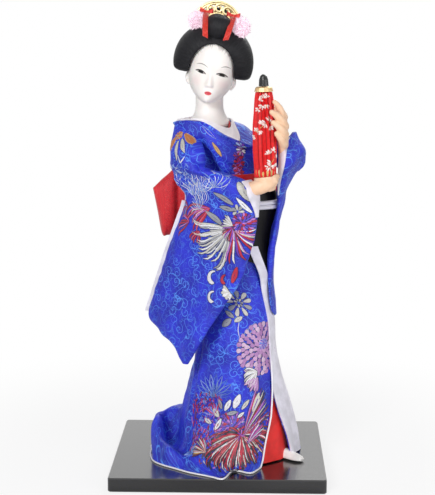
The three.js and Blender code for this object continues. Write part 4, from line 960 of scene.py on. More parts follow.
def outside_body(points, clear):
    """The points, pushed out of the dressed body where they lie inside it."""
    height = np.clip(points[..., 2] - PLINTH_TOP, 0, SASH_TOP + SCARF_HEIGHT)
    x, y, a, b = through(BODY, height)
    a, b = a + clear, b + clear
    dx, dy = points[..., 0] - x, points[..., 1] - y
    inside = np.hypot(dx / a, dy / b)
    beside = points[..., 2] < SASH_TOP + PLINTH_TOP + SCARF_HEIGHT
    grow = np.where((inside < 1) & beside, 1 / np.maximum(inside, 0.05), 1)
    made = points.copy()
    made[..., 0] = x + dx * grow
    made[..., 1] = y + dy * grow
    return made


# Arms and hands

RIGHT_ARM = [(-13, -3, 205), (-19.5, -8, 199), (-20, -10, 187), (-5, -17, 177.5), (20, -30, 176.5)]
LEFT_ARM = [(10, 4, 203), (24, 5, 200), (40, 1, 193), (44, -9, 190), (41, -20, 191)]
# A hand is a list of limbs: points, with heights above the plinth, and radii.
RIGHT_HAND = [
    ([(19, -30.6, 177), (25, -32.5, 178.6), (30, -33, 180.8), (33.4, -32, 182.2)], [4.2, 4.8, 4.6, 3.6]),
]
RIGHT_HAND += [
    ([(33.4 - 0.7 * k, -33.4, z), (36.2 - 0.8 * k, -28.5, z + 0.2), (33.5 - k, -24.6, z),
      (28.5 - k, -25.5, z - 0.4)], [1.9, 1.8, 1.6, 1.2])
    for k, z in enumerate((184.6, 182.2, 179.8, 177.6))
]
RIGHT_HAND += [([(25, -27, 180), (28, -24, 182.6), (31, -24, 183.4)], [2.2, 1.8, 1.3])]
LEFT_HAND = [
    ([(39.6, -14, 180), (40, -18.5, 188), (40.2, -22, 196), (39.8, -24.8, 204), (39, -27.4, 211),
      (38, -29.5, 217), (37.4, -31, 222), (36.8, -32, 226)], [2.8, 2.9, 3.1, 3.5, 4, 4.5, 4.4, 3.2]),
    ([(39, -33, 222), (37.8, -35, 226), (36, -36.2, 229), (34.2, -36.8, 231)], [2.7, 2.2, 1.8, 1.4]),
    ([(40, -34, 216), (38.4, -37.4, 219.5), (35.6, -39.2, 222.8), (32.6, -39.6, 224.8)],
     [3.4, 2.8, 2.3, 1.7]),
    ([(40.2, -34, 211), (38.8, -37.6, 213.8), (36.2, -39.2, 216.8), (33.4, -39.6, 218.6)],
     [3.2, 2.7, 2.2, 1.6]),
    ([(39.8, -33, 205.5), (38.8, -36.4, 208), (37, -38.2, 210.4), (35.4, -38.6, 212)], [2.8, 2.4, 2.0, 1.5]),
]
LEFT_HAND += [
    ([(40.4, -26, z), (39.4, -20.5, z + 2), (34.6, -18, z + 3), (30, -18.8, z + 2.4)], [2.4, 2.2, 1.9, 1.5])
    for z in (221, 217, 213)
]


# The head, in its own frame: eye line at the origin, face towards -Y, rolled about Y.

HEAD_AT = (-5.0, 0.0, 247.5 + PLINTH_TOP)
HEAD_ROLL = math.radians(9)
HEAD = [
    [-18.6, 2.6, 13.8, -8], [-17.6, 5.2, 16, -5], [-14, 9.4, 16.6, 2], [-9, 12.7, 16.6, 9],
    [-3, 14.4, 16.6, 14], [5, 14.9, 17, 17], [13, 14.3, 16, 16.5], [19, 12.4, 12.8, 14],
    [23, 9, 8.5, 10], [25.5, 3, 3, 3.5],
]
HAIR = [
    [-1.8, 21, 10, 14], [-0.8, 23.6, 12, 18], [2, 25, 13.4, 20.5], [8, 25.4, 15.6, 22.5], [15, 24, 17, 22],
    [21.5, 20.6, 15.4, 19.5], [26.5, 15.5, 12, 15.5], [30, 8.5, 7, 9],
]
NAPE = [[-12, 5, 4, 4], [-9, 9.5, 6, 7], [-3, 12.5, 6.5, 9], [4, 13, 6, 9], [8, 11, 5, 7]]
CREST = [[20, 6, 5, 4], [24, 8.2, 8, 6], [29, 8.8, 8.6, 7], [33.5, 7.4, 7, 6], [36.3, 3.5, 3.2, 3]]
BUN = [[22, 9, 5, 6], [27, 13, 7, 8], [33, 14, 7.5, 8.5], [37.5, 11.5, 6.5, 7.5], [40.6, 6, 4, 4.5]]
FACE_OPENING = (14.6, 19.8, -2.0)  # half-width, half-height and middle of the wig's oval round the face
# The neck: the height of its foot, and rows of the rise from there and radius.
THROAT_FOOT = 213.5
THROAT = [[0, 13.2], [2, 13.6], [4.6, 12], [8, 10], [12, 8.9], [22, 8.6], [25, 7]]
RIBBON = np.array([(1, -3.5, 36.4), (1, -11, 33.6), (0.2, -16.8, 28), (-1, -19.4, 21.4)])
COMB_X = -1.6
COMB_Z = 28.5
COMB_Y = 2.35
COMB_ARCS = ((15.2, 15.6), (14, 14.4), (8, 8.4))  # half-width and height of each of its arcs
COMB_WIRE = 0.85
COMB_COILS = 7
BLOSSOMS = (("left_blossom", (-13.2, -4, 30.4), 4.0, 3), ("right_blossom", (13.2, -5.5, 30.6), 4.6, 7))


def rolled(points, at, roll):
    """The doll's points from those of a frame at a place, rolled about Y."""
    x, y, z = np.moveaxis(np.asarray(points, float), -1, 0)
    c, s = math.cos(roll), math.sin(roll)
    return xyz(at[0] + x * c + z * s, at[1] + y, at[2] - x * s + z * c)


def unrolled(points, at, roll):
    """Points of such a frame from the doll's."""
    x, y, z = np.moveaxis(np.asarray(points, float) - at, -1, 0)
    c, s = math.cos(roll), math.sin(roll)
    return xyz(x * c - z * s, y, x * s + z * c)


def to_doll(points):
    """Points of the head's frame in the doll's."""
    return rolled(points, HEAD_AT, HEAD_ROLL)


def to_head(points):
    """Points of the doll's frame in the head's."""
    return unrolled(points, HEAD_AT, HEAD_ROLL)


# The parasol, in its own frame: the shaft along Z, the paper's lower edge at the origin.

PARASOL_AT = (29.0, -30.0, 184.6 + PLINTH_TOP)
PARASOL_ROLL = math.radians(-1.4)
PARASOL_LENGTH = 52.0
# The paper: rows of the way up and its radius.
PARASOL_RADIUS = [[0, 6.9], [0.25, 7.5], [0.55, 7.5], [0.85, 6.3], [1, 5.3]]
SHAFT_RADIUS = 1.5
PLEATS = 14
PLEAT_LEAN = 0.12  # turn of a pleat from the paper's foot to its neck, in radians
PAPER_UNROLLED = 7.2  # radius at which the paper's uv is unrolled


def from_parasol(points):
    return rolled(points, PARASOL_AT, PARASOL_ROLL)


def outside_parasol(points, clear):
    """The points, pushed out of the closed parasol where they lie inside it."""
    x, y, z = np.moveaxis(unrolled(points, PARASOL_AT, PARASOL_ROLL), -1, 0)
    paper = through(PARASOL_RADIUS, np.clip(z / PARASOL_LENGTH, 0, 1))[0] + clear
    limit = np.where(z > -2.0, paper, SHAFT_RADIUS + clear)
    far = np.maximum(np.hypot(x, y), 0.05)
    grow = np.where(far < limit, limit / far, 1)
    return from_parasol(xyz(x * grow, y * grow, z))


# Brocade threads, drawn on a cloth's uv in millimetres and laid on its surface

STROKE_STEPS = 9
PETAL_WIDTH = [[0, 0.3], [0.25, 0.7], [0.6, 1], [0.85, 0.9], [0.95, 0.6], [1, 0.2]]
LINE_WIDTH = [[0, 0.35], [0.2, 0.85], [0.5, 1], [0.8, 0.85], [1, 0.35]]
EDGE = 0.3
RAISED = 0.22
LAYER = 0.05
NAVY, SILVER, PALE, GREY = srgb(18, 18, 84), srgb(208, 206, 200), srgb(236, 236, 242), srgb(156, 158, 168)
CRIMSON, MAROON, PURPLE, LILAC = srgb(190, 24, 58), srgb(104, 14, 40), srgb(110, 50, 176), srgb(186, 116, 206)
PINK, ORANGE, GOLD_THREAD = srgb(206, 158, 214), srgb(196, 118, 62), srgb(206, 160, 96)
SKY, PALE_SKY, VIOLET = srgb(112, 150, 232), srgb(158, 186, 238), srgb(84, 76, 208)


def blend(grid, row, column):
    """A grid's values between its points."""
    i = np.clip(np.floor(row).astype(int), 0, len(grid) - 2)
    j = np.clip(np.floor(column).astype(int), 0, grid.shape[1] - 2)
    s, t = (row - i)[..., None], (column - j)[..., None]
    return lerp(lerp(grid[i, j], grid[i, j + 1], t), lerp(grid[i + 1, j], grid[i + 1, j + 1], t), s)


def at_uv(grid, uv, wanted):
    """Places and normals on a cloth's grid at wanted uv places."""
    ends = np.array(grid.shape[:2]) - 1.0
    rows, columns = (np.unique(np.linspace(0, end, 22).astype(int)) for end in ends)
    near = ((wanted[:, None] - uv[np.ix_(rows, columns)].reshape(1, -1, 2)) ** 2).sum(-1).argmin(1)
    spot = [rows[near // len(columns)].astype(float), columns[near % len(columns)].astype(float)]
    for _ in range(9):
        slopes = []
        for k in (0, 1):
            low, high = list(spot), list(spot)
            low[k], high[k] = np.maximum(spot[k] - 0.5, 0), np.minimum(spot[k] + 0.5, ends[k])
            slopes.append((blend(uv, *high) - blend(uv, *low)) / (high[k] - low[k])[:, None])
        (a, c), (b, d) = slopes[0].T, slopes[1].T
        x, y = (wanted - blend(uv, *spot)).T
        area = a * d - b * c
        area = np.where(np.abs(area) < 1e-6, 1e-6, area)
        moves = (d * x - b * y) / area, (a * y - c * x) / area
        spot = [np.clip(s + np.clip(m, -9, 9), 0, end) for s, m, end in zip(spot, moves, ends)]
    return blend(grid, *spot), unit(blend(grid_normals(grid, False), *spot))


class Threads:
    """Strokes of coloured thread on one cloth."""

    def __init__(self, seed):
        self.chance = np.random.default_rng(seed)
        self.strokes = []
        self.layer = 0.0

    def put(self, path, half, colour, edge):
        if edge is not None:
            self.strokes.append((path, half + EDGE, edge, 0.4 * RAISED, self.layer))
        self.strokes.append((path, half, colour, RAISED, self.layer))

    def line(self, points, half, colour, edge=None):
        share = np.linspace(0, 1, STROKE_STEPS)
        self.put(line_through(points, STROKE_STEPS), half * through(LINE_WIDTH, share)[0], colour, edge)

    def petal(self, base, angle, length, half, colour, bend=0.0, hook=0.0, edge=None):
        """A petal that sets out at an angle in degrees, bends as it goes and hooks at its tip."""
        share = np.linspace(0, 1, STROKE_STEPS)
        heading = np.radians(angle + bend * share + hook * smooth(share, 0.6, 1))
        steps = np.stack([np.cos(heading), np.sin(heading)], 1) * length / (STROKE_STEPS - 1)
        path = np.asarray(base, float) + np.r_[[(0, 0)], np.cumsum(steps[:-1], axis=0)]
        self.put(path, half * through(PETAL_WIDTH, share)[0], colour, edge)

    def fan(self, base, count, angles, reach, half, tints, bends=(0, 0), hook=0.0, edge=None, start=0.0):
        """Petals round one place, from one angle to another."""
        for k in range(count):
            share = k / max(count - 1, 1)
            angle = lerp(*angles, share) + self.chance.normal(0, 2)
            length = lerp(*reach, share) * self.chance.uniform(0.85, 1.1)
            away = start * np.array([math.cos(math.radians(angle)), math.sin(math.radians(angle))])
            away += self.chance.normal(0, 0.05, 2)
            tint = tints[k % len(tints)]
            self.petal(base + away, angle, length, half, tint, lerp(*bends, share), hook, edge)

    def mum(self, centre, radius, rings, half, tints, edge=None, bend=20):
        """A chrysanthemum: rings of petals, the outer ones first."""
        for k in range(rings, 0, -1):
            count = max(5, round(2 * math.pi * radius * (k - 0.3) / rings / (2.2 * half)))
            first = self.chance.uniform(0, 360)
            reach = 1.3 * radius / rings
            self.fan(centre, count, (first, first + 360 - 360 / count), (reach, reach), half, tints,
                     (bend, bend), 0.0, edge, radius * (k - 0.95) / rings)
            self.layer += LAYER

    def leaf(self, base, tip, half, colour, edge=NAVY, bulge=0.5, share=0.46):
        """A leaf in two halves, with its rib left open between them."""
        base, tip = np.asarray(base, float), np.asarray(tip, float)
        along = unit(tip - base)
        for side in (-1, 1):
            out = side * half * bulge * np.array([-along[1], along[0]])
            points = [base + 0.2 * out, lerp(base, tip, 0.5) + out, tip + 0.1 * out]
            self.line(points, half * share, colour, edge)

    def outline(self, base, tip, half, colour):
        self.leaf(base, tip, half, colour, None, 1.0, 0.22 / half)

    def specks(self, low, high, count, half, tints, angles):
        """Short strokes scattered over a rectangle."""
        for k in range(count):
            spot = self.chance.uniform(low, high)
            self.petal(spot, self.chance.uniform(*angles), self.chance.uniform(1.6, 3.2), half,
                       tints[k % len(tints)], self.chance.uniform(-60, 60))

    def lay(self, name, grid, uv, look):
        """The strokes as one piece, on a cloth's grid."""
        path, half, colour, lift, layer = (np.array(values, float) for values in zip(*self.strokes))
        ahead = np.gradient(path, axis=1)
        beside = unit(np.stack([-ahead[..., 1], ahead[..., 0]], axis=-1))
        beside = beside * np.maximum(half, 0.07)[..., None]
        wanted = np.stack([path + beside, path, path - beside], axis=2)
        found = at_uv(grid, uv, wanted.reshape(-1, 2))
        place, normal = (made.reshape(*wanted.shape[:3], 3) for made in found)
        rings = np.concatenate([place, place[:, :, 1:2]], axis=2)
        normal = np.concatenate([normal, normal[:, :, 1:2]], axis=2)
        offset = np.stack([0.03 + layer, lift + layer, 0.03 + layer, -0.2 - lift], axis=1)
        rings = rings + normal * offset[:, None, :, None]
        j, i = np.mgrid[0:STROKE_STEPS - 1, 0:4]
        low, after = 4 * j, (i + 1) % 4
        side = np.stack([low + i, low + after, low + 4 + after, low + 4 + i], -1).reshape(-1, 4)
        last = 4 * STROKE_STEPS
        one = np.r_[side, [[3, 2, 1, 0]], [[last - 4, last - 3, last - 2, last - 1]]]
        faces = (one[None] + last * np.arange(len(path))[:, None, None]).reshape(-1, 4)
        piece = mesh_piece(name, rings.reshape(-1, 3), faces, look, None, 80, False)
        store(piece, "thread", np.repeat(colour, last, axis=0))
        return piece


def right_sleeve_threads():
    """The right sleeve's front, as the cloth shows it, and a plainer back."""
    t = Threads(11)
    t.leaf((-10, 219), (-0.5, 213.6), 1.2, ORANGE, GOLD_THREAD)
    t.leaf((-14.5, 216), (-18, 208), 1.8, ORANGE, GOLD_THREAD)
    t.leaf((-9.7, 216), (-2.5, 208), 1.5, SILVER)
    t.leaf((-11.5, 214.5), (-9.5, 202.5), 1.4, SILVER)
    t.line([(-8.5, 206), (-5.5, 201.6), (-2.5, 205.5)], 0.5, PALE)
    t.mum((-13.2, 217.4), 2.2, 2, 0.5, (GOLD_THREAD, ORANGE))
    # Wavy lines over the forearm
    for u, v, first, last in ((-4, 180, 160, 20), (7, 184, 170, 0), (16, 187, 200, -10),
                              (-13, 176, 250, 90), (2, 172, 200, 40)):
        t.fan((u, v), 9, (first, last), (9, 12), 0.24, (PALE, PALE_SKY), (-70, 70), 40)
        t.fan((u, v), 6, (first - 20, last + 20), (5, 7), 0.22, (PALE_SKY, SKY), (60, -60), 50)
    for k in range(8):
        t.line([(0.5 + 1.5 * k, 195 - 0.3 * k), (-0.5 + 1.4 * k, 189 - 0.4 * k),
                (1 + 1.3 * k, 183.5 - 0.5 * k), (-2 + 1.3 * k, 178 - 0.3 * k)], 0.26, (PALE, PALE_SKY)[k % 2])
    t.specks((-15, 185), (1, 199), 90, 0.22, (PALE, PALE_SKY, SKY), (0, 180))
    t.outline((20, 185), (25, 194), 1.6, PALE_SKY)
    # Leaves and a small flower by the cuff
    t.leaf((37.5, 178.5), (29.5, 190.5), 2.2, SILVER)
    t.leaf((37.5, 172), (29.5, 181), 1.4, PALE)
    t.leaf((27, 176.5), (14.5, 183.5), 1.8, GREY)
    t.leaf((27.5, 173), (17, 174.5), 1.6, GREY)
    t.fan((30, 172.5), 7, (0, 310), (3.6, 3.6), 0.95, (SILVER, GREY), edge=NAVY, start=0.8)
    # Crimson petals that sweep down to the left
    rose = srgb(214, 84, 110)
    t.layer = LAYER
    t.fan((10, 173), 9, (160, 232), (24, 17), 0.66, (CRIMSON, LILAC, CRIMSON, rose), (50, 10), 40, NAVY)
    t.layer += LAYER
    t.fan((6, 172), 5, (172, 220), (12, 10), 0.5, (PALE, LILAC, CRIMSON), (40, 10), 40, NAVY)
    t.fan((-7, 163), 6, (120, 236), (9, 13), 0.52, (CRIMSON, LILAC, CRIMSON), (70, -40), 70, NAVY)
    t.fan((-10, 172), 7, (100, 250), (7, 8), 0.36, (CRIMSON, LILAC, PALE_SKY), (80, 60), 80, NAVY)
    t.fan((2, 158), 5, (190, 280), (10, 8), 0.5, (CRIMSON, rose), (40, -30), 60, NAVY)
    t.leaf((7, 171), (19, 163), 2.0, GREY, srgb(14, 12, 40))
    # The large chrysanthemum: silver petals to the left, lilac and crimson ones to the right
    t.layer += LAYER
    t.fan((26, 160.5), 21, (170, 268), (26, 24), 0.66, (SILVER, PALE, GREY, SILVER, PALE), (22, -14), -60,
          NAVY, 3.0)
    t.layer += LAYER
    t.fan((25, 160.5), 15, (176, 266), (16, 15), 0.55, (PALE, SILVER, GREY), (18, -10), -40, NAVY, 2.0)
    t.layer += LAYER
    t.fan((28, 161), 15, (262, 352), (21, 11), 0.6, (LILAC, CRIMSON, PALE, PURPLE, CRIMSON, SILVER),
          (-14, 24), 34, NAVY, 1.0)
    t.layer += LAYER
    t.fan((27, 162), 12, (150, 300), (9, 9), 0.5, (CRIMSON, PURPLE, LILAC, MAROON), (24, -24), 40, NAVY)
    t.mum((33, 165.5), 6.0, 3, 0.62, (PURPLE, CRIMSON, LILAC, VIOLET), NAVY)
    t.fan((27, 163.5), 6, (120, 190), (8, 8), 0.6, (PALE, SILVER), (10, -10), 0, NAVY)
    # Hooked curls below it
    t.petal((16, 134), 185, 13, 1.35, PALE, 200, 0, NAVY)
    t.petal((24, 132.5), 200, 8, 1.1, CRIMSON, 170, 0, NAVY)
    t.leaf((28.5, 128), (31, 138), 1.6, CRIMSON)
    t.petal((17, 121.5), 190, 11, 1.2, PALE, 200, 0, NAVY)
    t.fan((27, 122), 6, (130, 270), (5, 5), 1.0, (SILVER, PALE), edge=NAVY)
    back = Threads(12)
    back.mum((10, 165), 13, 5, 0.8, (PINK, LILAC, PALE), NAVY)
    back.fan((-6, 128), 17, (200, 340), (18, 18), 0.8, (SILVER, CRIMSON, PALE, PURPLE), (20, -20), 30,
             NAVY, 2.0)
    back.leaf((16, 140), (24, 150), 2.0, SILVER)
    return t, back


def left_sleeve_threads():
    """A small spray on each side of the left sleeve."""
    sides = Threads(14), Threads(15)
    for t in sides:
        t.mum((20, 196), 4.0, 3, 0.5, (PINK, LILAC, PALE), NAVY)
        t.fan((24, 188), 7, (200, 330), (6, 6), 0.5, (SILVER, CRIMSON, PALE), (20, -20), 30, NAVY)
    return sides


def skirt_threads():
    """The skirt's front, as the cloth shows it, and the same flowers round its sides and back."""
    t = Threads(17)
    t.fan((-6.6, 108.6), 9, (10, 330), (5.6, 5.6), 1.35, (SILVER, SILVER, GREY), edge=NAVY, start=3.4)
    t.fan((-6.6, 108.6), 7, (0, 310), (2.2, 2.2), 0.7, (GREY, SILVER), edge=NAVY, start=1.0)
    t.leaf((-14, 98), (-20.5, 93), 2.0, GREY)
    t.leaf((-12, 99), (-16.5, 103), 1.6, GREY)
    t.leaf((-12, 96.5), (-6.5, 99.5), 1.5, SILVER)
    t.line([(-9, 97), (-10.5, 91), (-9.5, 85)], 0.25, PALE)
    t.outline((-5, 88), (1, 95), 1.4, PALE_SKY)
    t.outline((-4, 92), (-6, 86), 1.2, PALE_SKY)
    # The pink chrysanthemum, with petals like scales
    dusty = srgb(188, 138, 194), srgb(206, 162, 208), srgb(176, 124, 188), srgb(216, 184, 216)
    t.mum((5.5, 78), 16.5, 6, 1.55, dusty, NAVY, 14)
    t.mum((6.8, 81), 3.2, 2, 0.5, (VIOLET, SKY), PINK)
    t.fan((3, 64), 9, (150, 262), (9, 10), 0.6, (PALE, SILVER, PALE), (30, -10), 60, NAVY)
    t.fan((4, 60), 7, (190, 280), (9, 9), 0.8, dusty, (10, -10), 0, NAVY)
    # A fan of leaves in light-blue outline and the speckled ground beside it
    for k in range(9):
        angle = math.radians(158 - 17 * k)
        tip = np.array([-23.6 + 14 * math.cos(angle), 47 + 15 * math.sin(angle)])
        t.outline(lerp(np.array([-23.6, 47.0]), tip, 0.35), tip, 1.2, (SKY, PALE_SKY)[k % 2])
    t.fan((-23.6, 47), 13, (165, 15), (9, 11), 0.2, (SKY, PALE_SKY), (20, -30), 40)
    t.specks((-36, 14), (-16, 48), 260, 0.3, (CRIMSON, LILAC, PURPLE, SKY, MAROON, CRIMSON), (60, 150))
    t.fan((-20, 36), 8, (60, 190), (7, 9), 0.4, (CRIMSON, SKY, LILAC), (40, -40), 40)
    # White leaves
    t.layer = 8 * LAYER
    leaves = (
        ((-8, 41), (-6.5, 50), 2.3, PALE), ((-13.5, 39), (-11.5, 46.5), 1.7, PALE),
        ((-17, 35), (-21.5, 39.5), 1.8, SILVER), ((-15, 34), (-18, 27.5), 1.7, PALE),
        ((-11.5, 37), (-5.5, 38.5), 1.4, GREY), ((-3, 40), (0.5, 46), 1.5, SILVER),
        ((-16, 40), (-19, 46), 1.3, GREY), ((-21, 31), (-26, 33), 1.3, SILVER),
        ((-4.5, 35), (-1, 38), 1.2, PALE), ((4.5, 38), (6.5, 50), 1.8, SILVER),
    )
    for leaf in leaves:
        t.leaf(*leaf)
    # Purple ball and the crimson chrysanthemum under it, on a ground of short strokes
    deep = srgb(20, 12, 40)
    t.layer = 0.0
    t.specks((-24, 2), (22, 34), 420, 0.34, (CRIMSON, PURPLE, SILVER, deep, LILAC, MAROON), (20, 160))
    t.mum((-8.5, 29), 9.5, 4, 0.66, (PURPLE, VIOLET, LILAC, PURPLE, CRIMSON), NAVY, 70)
    tints = (CRIMSON, deep, CRIMSON, SILVER, MAROON, CRIMSON, deep, PALE, CRIMSON)
    for count, reach, bend, first, last in ((49, 24, 56, 172, 372), (41, 19, 50, 160, 384),
                                            (31, 14, 44, 150, 390), (21, 9, 36, 130, 410)):
        t.layer += LAYER
        t.fan((0, 23), count, (first, last), (reach, reach), 0.46, tints, (bend, -bend), 24, deep, 1.5)
    t.fan((0, 23), 9, (0, 320), (4, 4), 0.5, (PURPLE, CRIMSON, LILAC), (40, 40), 0, deep)
    # Feathers up the front edge
    t.fan((2, 22), 17, (92, 36), (32, 18), 0.5, (LILAC, CRIMSON, PURPLE, SILVER, MAROON, deep), (-16, 12), 0,
          NAVY)
    t.layer += LAYER
    t.fan((6, 16), 11, (84, 16), (18, 10), 0.5, (PURPLE, CRIMSON, LILAC, PALE), (-12, 20), 20, NAVY)
    t.fan((-20, 12), 15, (196, 100), (9, 12), 0.46, (MAROON, GOLD_THREAD, PALE, CRIMSON, GREY), (10, 30), 0,
          NAVY)
    t.fan((-30, 10), 9, (200, 60), (6, 8), 0.22, (SKY, PALE_SKY), (40, -40), 60)
    t.layer = LAYER
    for u, v in ((-114, 0), (-148, 6)):
        t.mum((u + 4, v + 74), 14.0, 5, 1.3, dusty, NAVY, 14)
        t.fan((u - 6, v + 28), 27, (172, 368), (17, 17), 0.6, tints, (50, -50), 20, deep, 2.0)
        t.leaf((u + 20, v + 48), (u + 26, v + 58), 2.0, SILVER)
    t.fan((-84, 108), 9, (10, 330), (5.6, 5.6), 1.35, (SILVER, SILVER, GREY), edge=NAVY, start=3.4)
    return t


def bodice_threads():
    """Leaves on the right shoulder, the patterned band of the left front edge, and flowers behind."""
    t = Threads(19)
    t.outline((-8, 43), (-1, 36.5), 1.6, PALE)
    t.leaf((-4.5, 34), (-1.5, 25.5), 1.2, GOLD_THREAD)
    stem = line_through([(4.5, 11), (9.5, 25), (18, 43)], 25)
    for k in range(7):
        tints = ((CRIMSON, LILAC), (CRIMSON, PURPLE), (PALE, LILAC), (PALE_SKY, PURPLE))[k // 2]
        spot = stem[3 * k + 3] + (0.5 * (-1) ** k, 0)
        t.fan(spot, 9, (0, 320), (3.1, 3.1), 0.62, tints, edge=NAVY, start=0.5)
        t.layer += LAYER
    for u in (52, 88):
        t.mum((u, 22), 10, 4, 0.8, (PINK, LILAC, PALE), NAVY)
    t.fan((70, 40), 9, (200, 340), (9, 9), 0.7, (SILVER, CRIMSON, PALE), (20, -20), 30, NAVY)
    return t


def paper_sprays():
    """Sprays of white blossom with gilt hearts on the parasol's paper."""
    t = Threads(23)
    white, pink, gilt = srgb(252, 244, 240), srgb(250, 214, 210), srgb(226, 176, 92)
    rows = [
        (-3.5, 47, 70, 4), (-0.6, 48.6, 80, 4), (2.4, 49, 85, 4), (-1.6, 44.2, 250, 4), (2.0, 44.6, 270, 4),
        (-5.4, 42.4, 250, 4), (-8.6, 25.6, 250, 5), (-6.6, 28.4, 100, 5), (-3.6, 29.0, 270, 5),
        (-2.4, 32.6, 75, 5), (1.0, 33.4, 210, 5), (3.2, 34.6, 60, 5), (4.6, 31.6, 300, 5),
        (2.6, 14.6, 100, 5), (6.2, 16.0, 60, 5), (9.2, 14.4, 350, 5), (4.0, 9.4, 220, 6),
        (7.0, 8.0, 280, 6), (9.6, 9.0, 310, 5), (2.6, 6.6, 230, 4),
    ]
    rows += [(u + shift, v, angle, 5) for shift in (-22, 20) for u, v, angle, _ in rows[6:17]]
    for u, v, angle, count in rows:
        t.fan((u, v), count, (angle - 70, angle + 70), (2.6, 2.6), 0.5, (white, pink, white), start=0.3)
        t.petal((u, v), angle, 1.3, 0.4, gilt)
    for shift in (-22, 0, 20):
        t.line([(shift - 9, 25), (shift - 3, 30.6), (shift + 5, 34.5)], 0.2, gilt)
        t.line([(shift + 3, 5), (shift + 5.5, 10), (shift + 8, 15)], 0.2, gilt)
    for k in range(PLEATS):
        u = 2 * math.pi * PAPER_UNROLLED * ((k + 0.5) / PLEATS - 0.5)
        t.petal((u, 0.4), 90, 4.6 if k % 3 else 3.4, 0.85, srgb(228, 188, 116))
    return t


# Properties

def length_property(name, description, default):
    return bpy.props.FloatProperty(name=name, description=description, default=default, min=0.0,
                                   subtype="DISTANCE", unit="LENGTH")


def colour_property(name, description, default):
    return bpy.props.FloatVectorProperty(name=name, description=description, default=default, size=3,
                                         min=0.0, max=1.0, subtype="COLOR")


class DollSizes(bpy.types.PropertyGroup):
    """Sizes that a user would change."""
    cloth: length_property("Robe cloth", "Thickness of the robe's brocade", CLOTH * MM)
    lining: length_property("Lining", "Thickness of lining, collar and ribbon cloth", LINING * MM)
    piping: length_property("Piping", "Radius of the white cord along the hem", 0.55 * MM)
    cord: length_property("Sash cord", "Radius of each of the two cords over the sash", 1.4 * MM)
    pleat: length_property("Parasol pleat", "Depth of the parasol's pleats", 1.6 * MM)
    petal: length_property("Tulle petal", "Size of a petal of the hair blossoms", 3.2 * MM)


class DollColours(bpy.types.PropertyGroup):
    """Colours that a user would change."""
    robe: colour_property("Robe blue", "Ground of the brocade", srgb(46, 54, 206))
    white: colour_property("White silk", "Lining and cuffs", srgb(238, 235, 248))
    red: colour_property("Red silk", "Under-robe, scarf and inner collar", srgb(196, 14, 24))
    bow: colour_property("Bow red", "Ground of the bow's brocade", srgb(224, 26, 42))
    sash: colour_property("Sash black", "Satin of the sash", srgb(11, 10, 13))
    paper: colour_property("Parasol red", "Paper of the parasol", srgb(228, 22, 26))
    gold: colour_property("Gold", "Comb and parasol band", srgb(246, 228, 178))
    skin: colour_property("Face", "Painted skin of the face and neck", srgb(247, 242, 238))
    hands: colour_property("Hands", "Painted skin of the hands", srgb(243, 206, 176))
    hair: colour_property("Hair", "Fibre of the wig", srgb(21, 21, 24))
    tulle: colour_property("Tulle", "Net of the hair blossoms", srgb(255, 232, 243))
    lacquer: colour_property("Lacquer", "Board of the plinth", srgb(18, 18, 19))


# Pieces that follow a path or repeat, made with geometry nodes

PETALS_PER_SQUARE_METRE = 1.2e6


class Former(Nodes):
    """A geometry tree with named inputs, used once on a piece."""

    def __init__(self, name, **inputs):
        tree = bpy.data.node_groups.new(name, "GeometryNodeTree")
        super().__init__(tree)
        kinds = {float: "NodeSocketFloat", int: "NodeSocketInt"}
        tree.interface.new_socket("Geometry", in_out="INPUT", socket_type="NodeSocketGeometry")
        tree.interface.new_socket("Geometry", in_out="OUTPUT", socket_type="NodeSocketGeometry")
        self.values = {}
        for key, value in inputs.items():
            socket = tree.interface.new_socket(key, in_out="INPUT", socket_type=kinds[type(value)])
            self.values[socket.identifier] = value
        self.source = tree.nodes.new("NodeGroupInput")

    def given(self, name):
        return Wire(self, self.source.outputs[name])

    def make(self, name, shape, start, look):
        """The tree's plain mesh, from a starting mesh: the shape realised and given its finish."""
        whole = self.node("GeometryNodeRealizeInstances", None, {0: shape})
        dressed = self.node("GeometryNodeSetMaterial", None, {"Geometry": whole, "Material": look})
        self.node("NodeGroupOutput", None, {0: dressed})
        piece = bpy.data.objects.new(name + "_rough", start)
        bpy.context.scene.collection.objects.link(piece)
        former = piece.modifiers.new("former", "NODES")
        former.node_group = self.tree
        for identifier, value in self.values.items():
            former[identifier] = value
        return plain(piece, name, look)


def path_mesh(points, closed=False):
    mesh = bpy.data.meshes.new("path")
    count = len(points)
    edges = [(i, i + 1) for i in range(count - 1)] + ([(count - 1, 0)] if closed else [])
    mesh.from_pydata((np.asarray(points) * MM).tolist(), edges, [])
    return mesh


def cord_along(name, lines, radius, look, closed=False, sides=12):
    """A round cord along each line of points."""
    made = bmesh.new()
    for points in lines:
        made.from_mesh(path_mesh(points, closed))
    start = bpy.data.meshes.new(name)
    made.to_mesh(start)
    made.free()
    f = Former(name + "_former", Radius=float(radius), Sides=sides)
    curve = f.node("GeometryNodeMeshToCurve", None, {"Mesh": f.given("Geometry")})
    ring = f.node("GeometryNodeCurvePrimitiveCircle", None,
                  {"Resolution": f.given("Sides"), "Radius": f.given("Radius")})
    cord = f.node("GeometryNodeCurveToMesh", None, {"Curve": curve, "Profile Curve": ring, "Fill Caps": True})
    return f.make(name, cord, start, look)


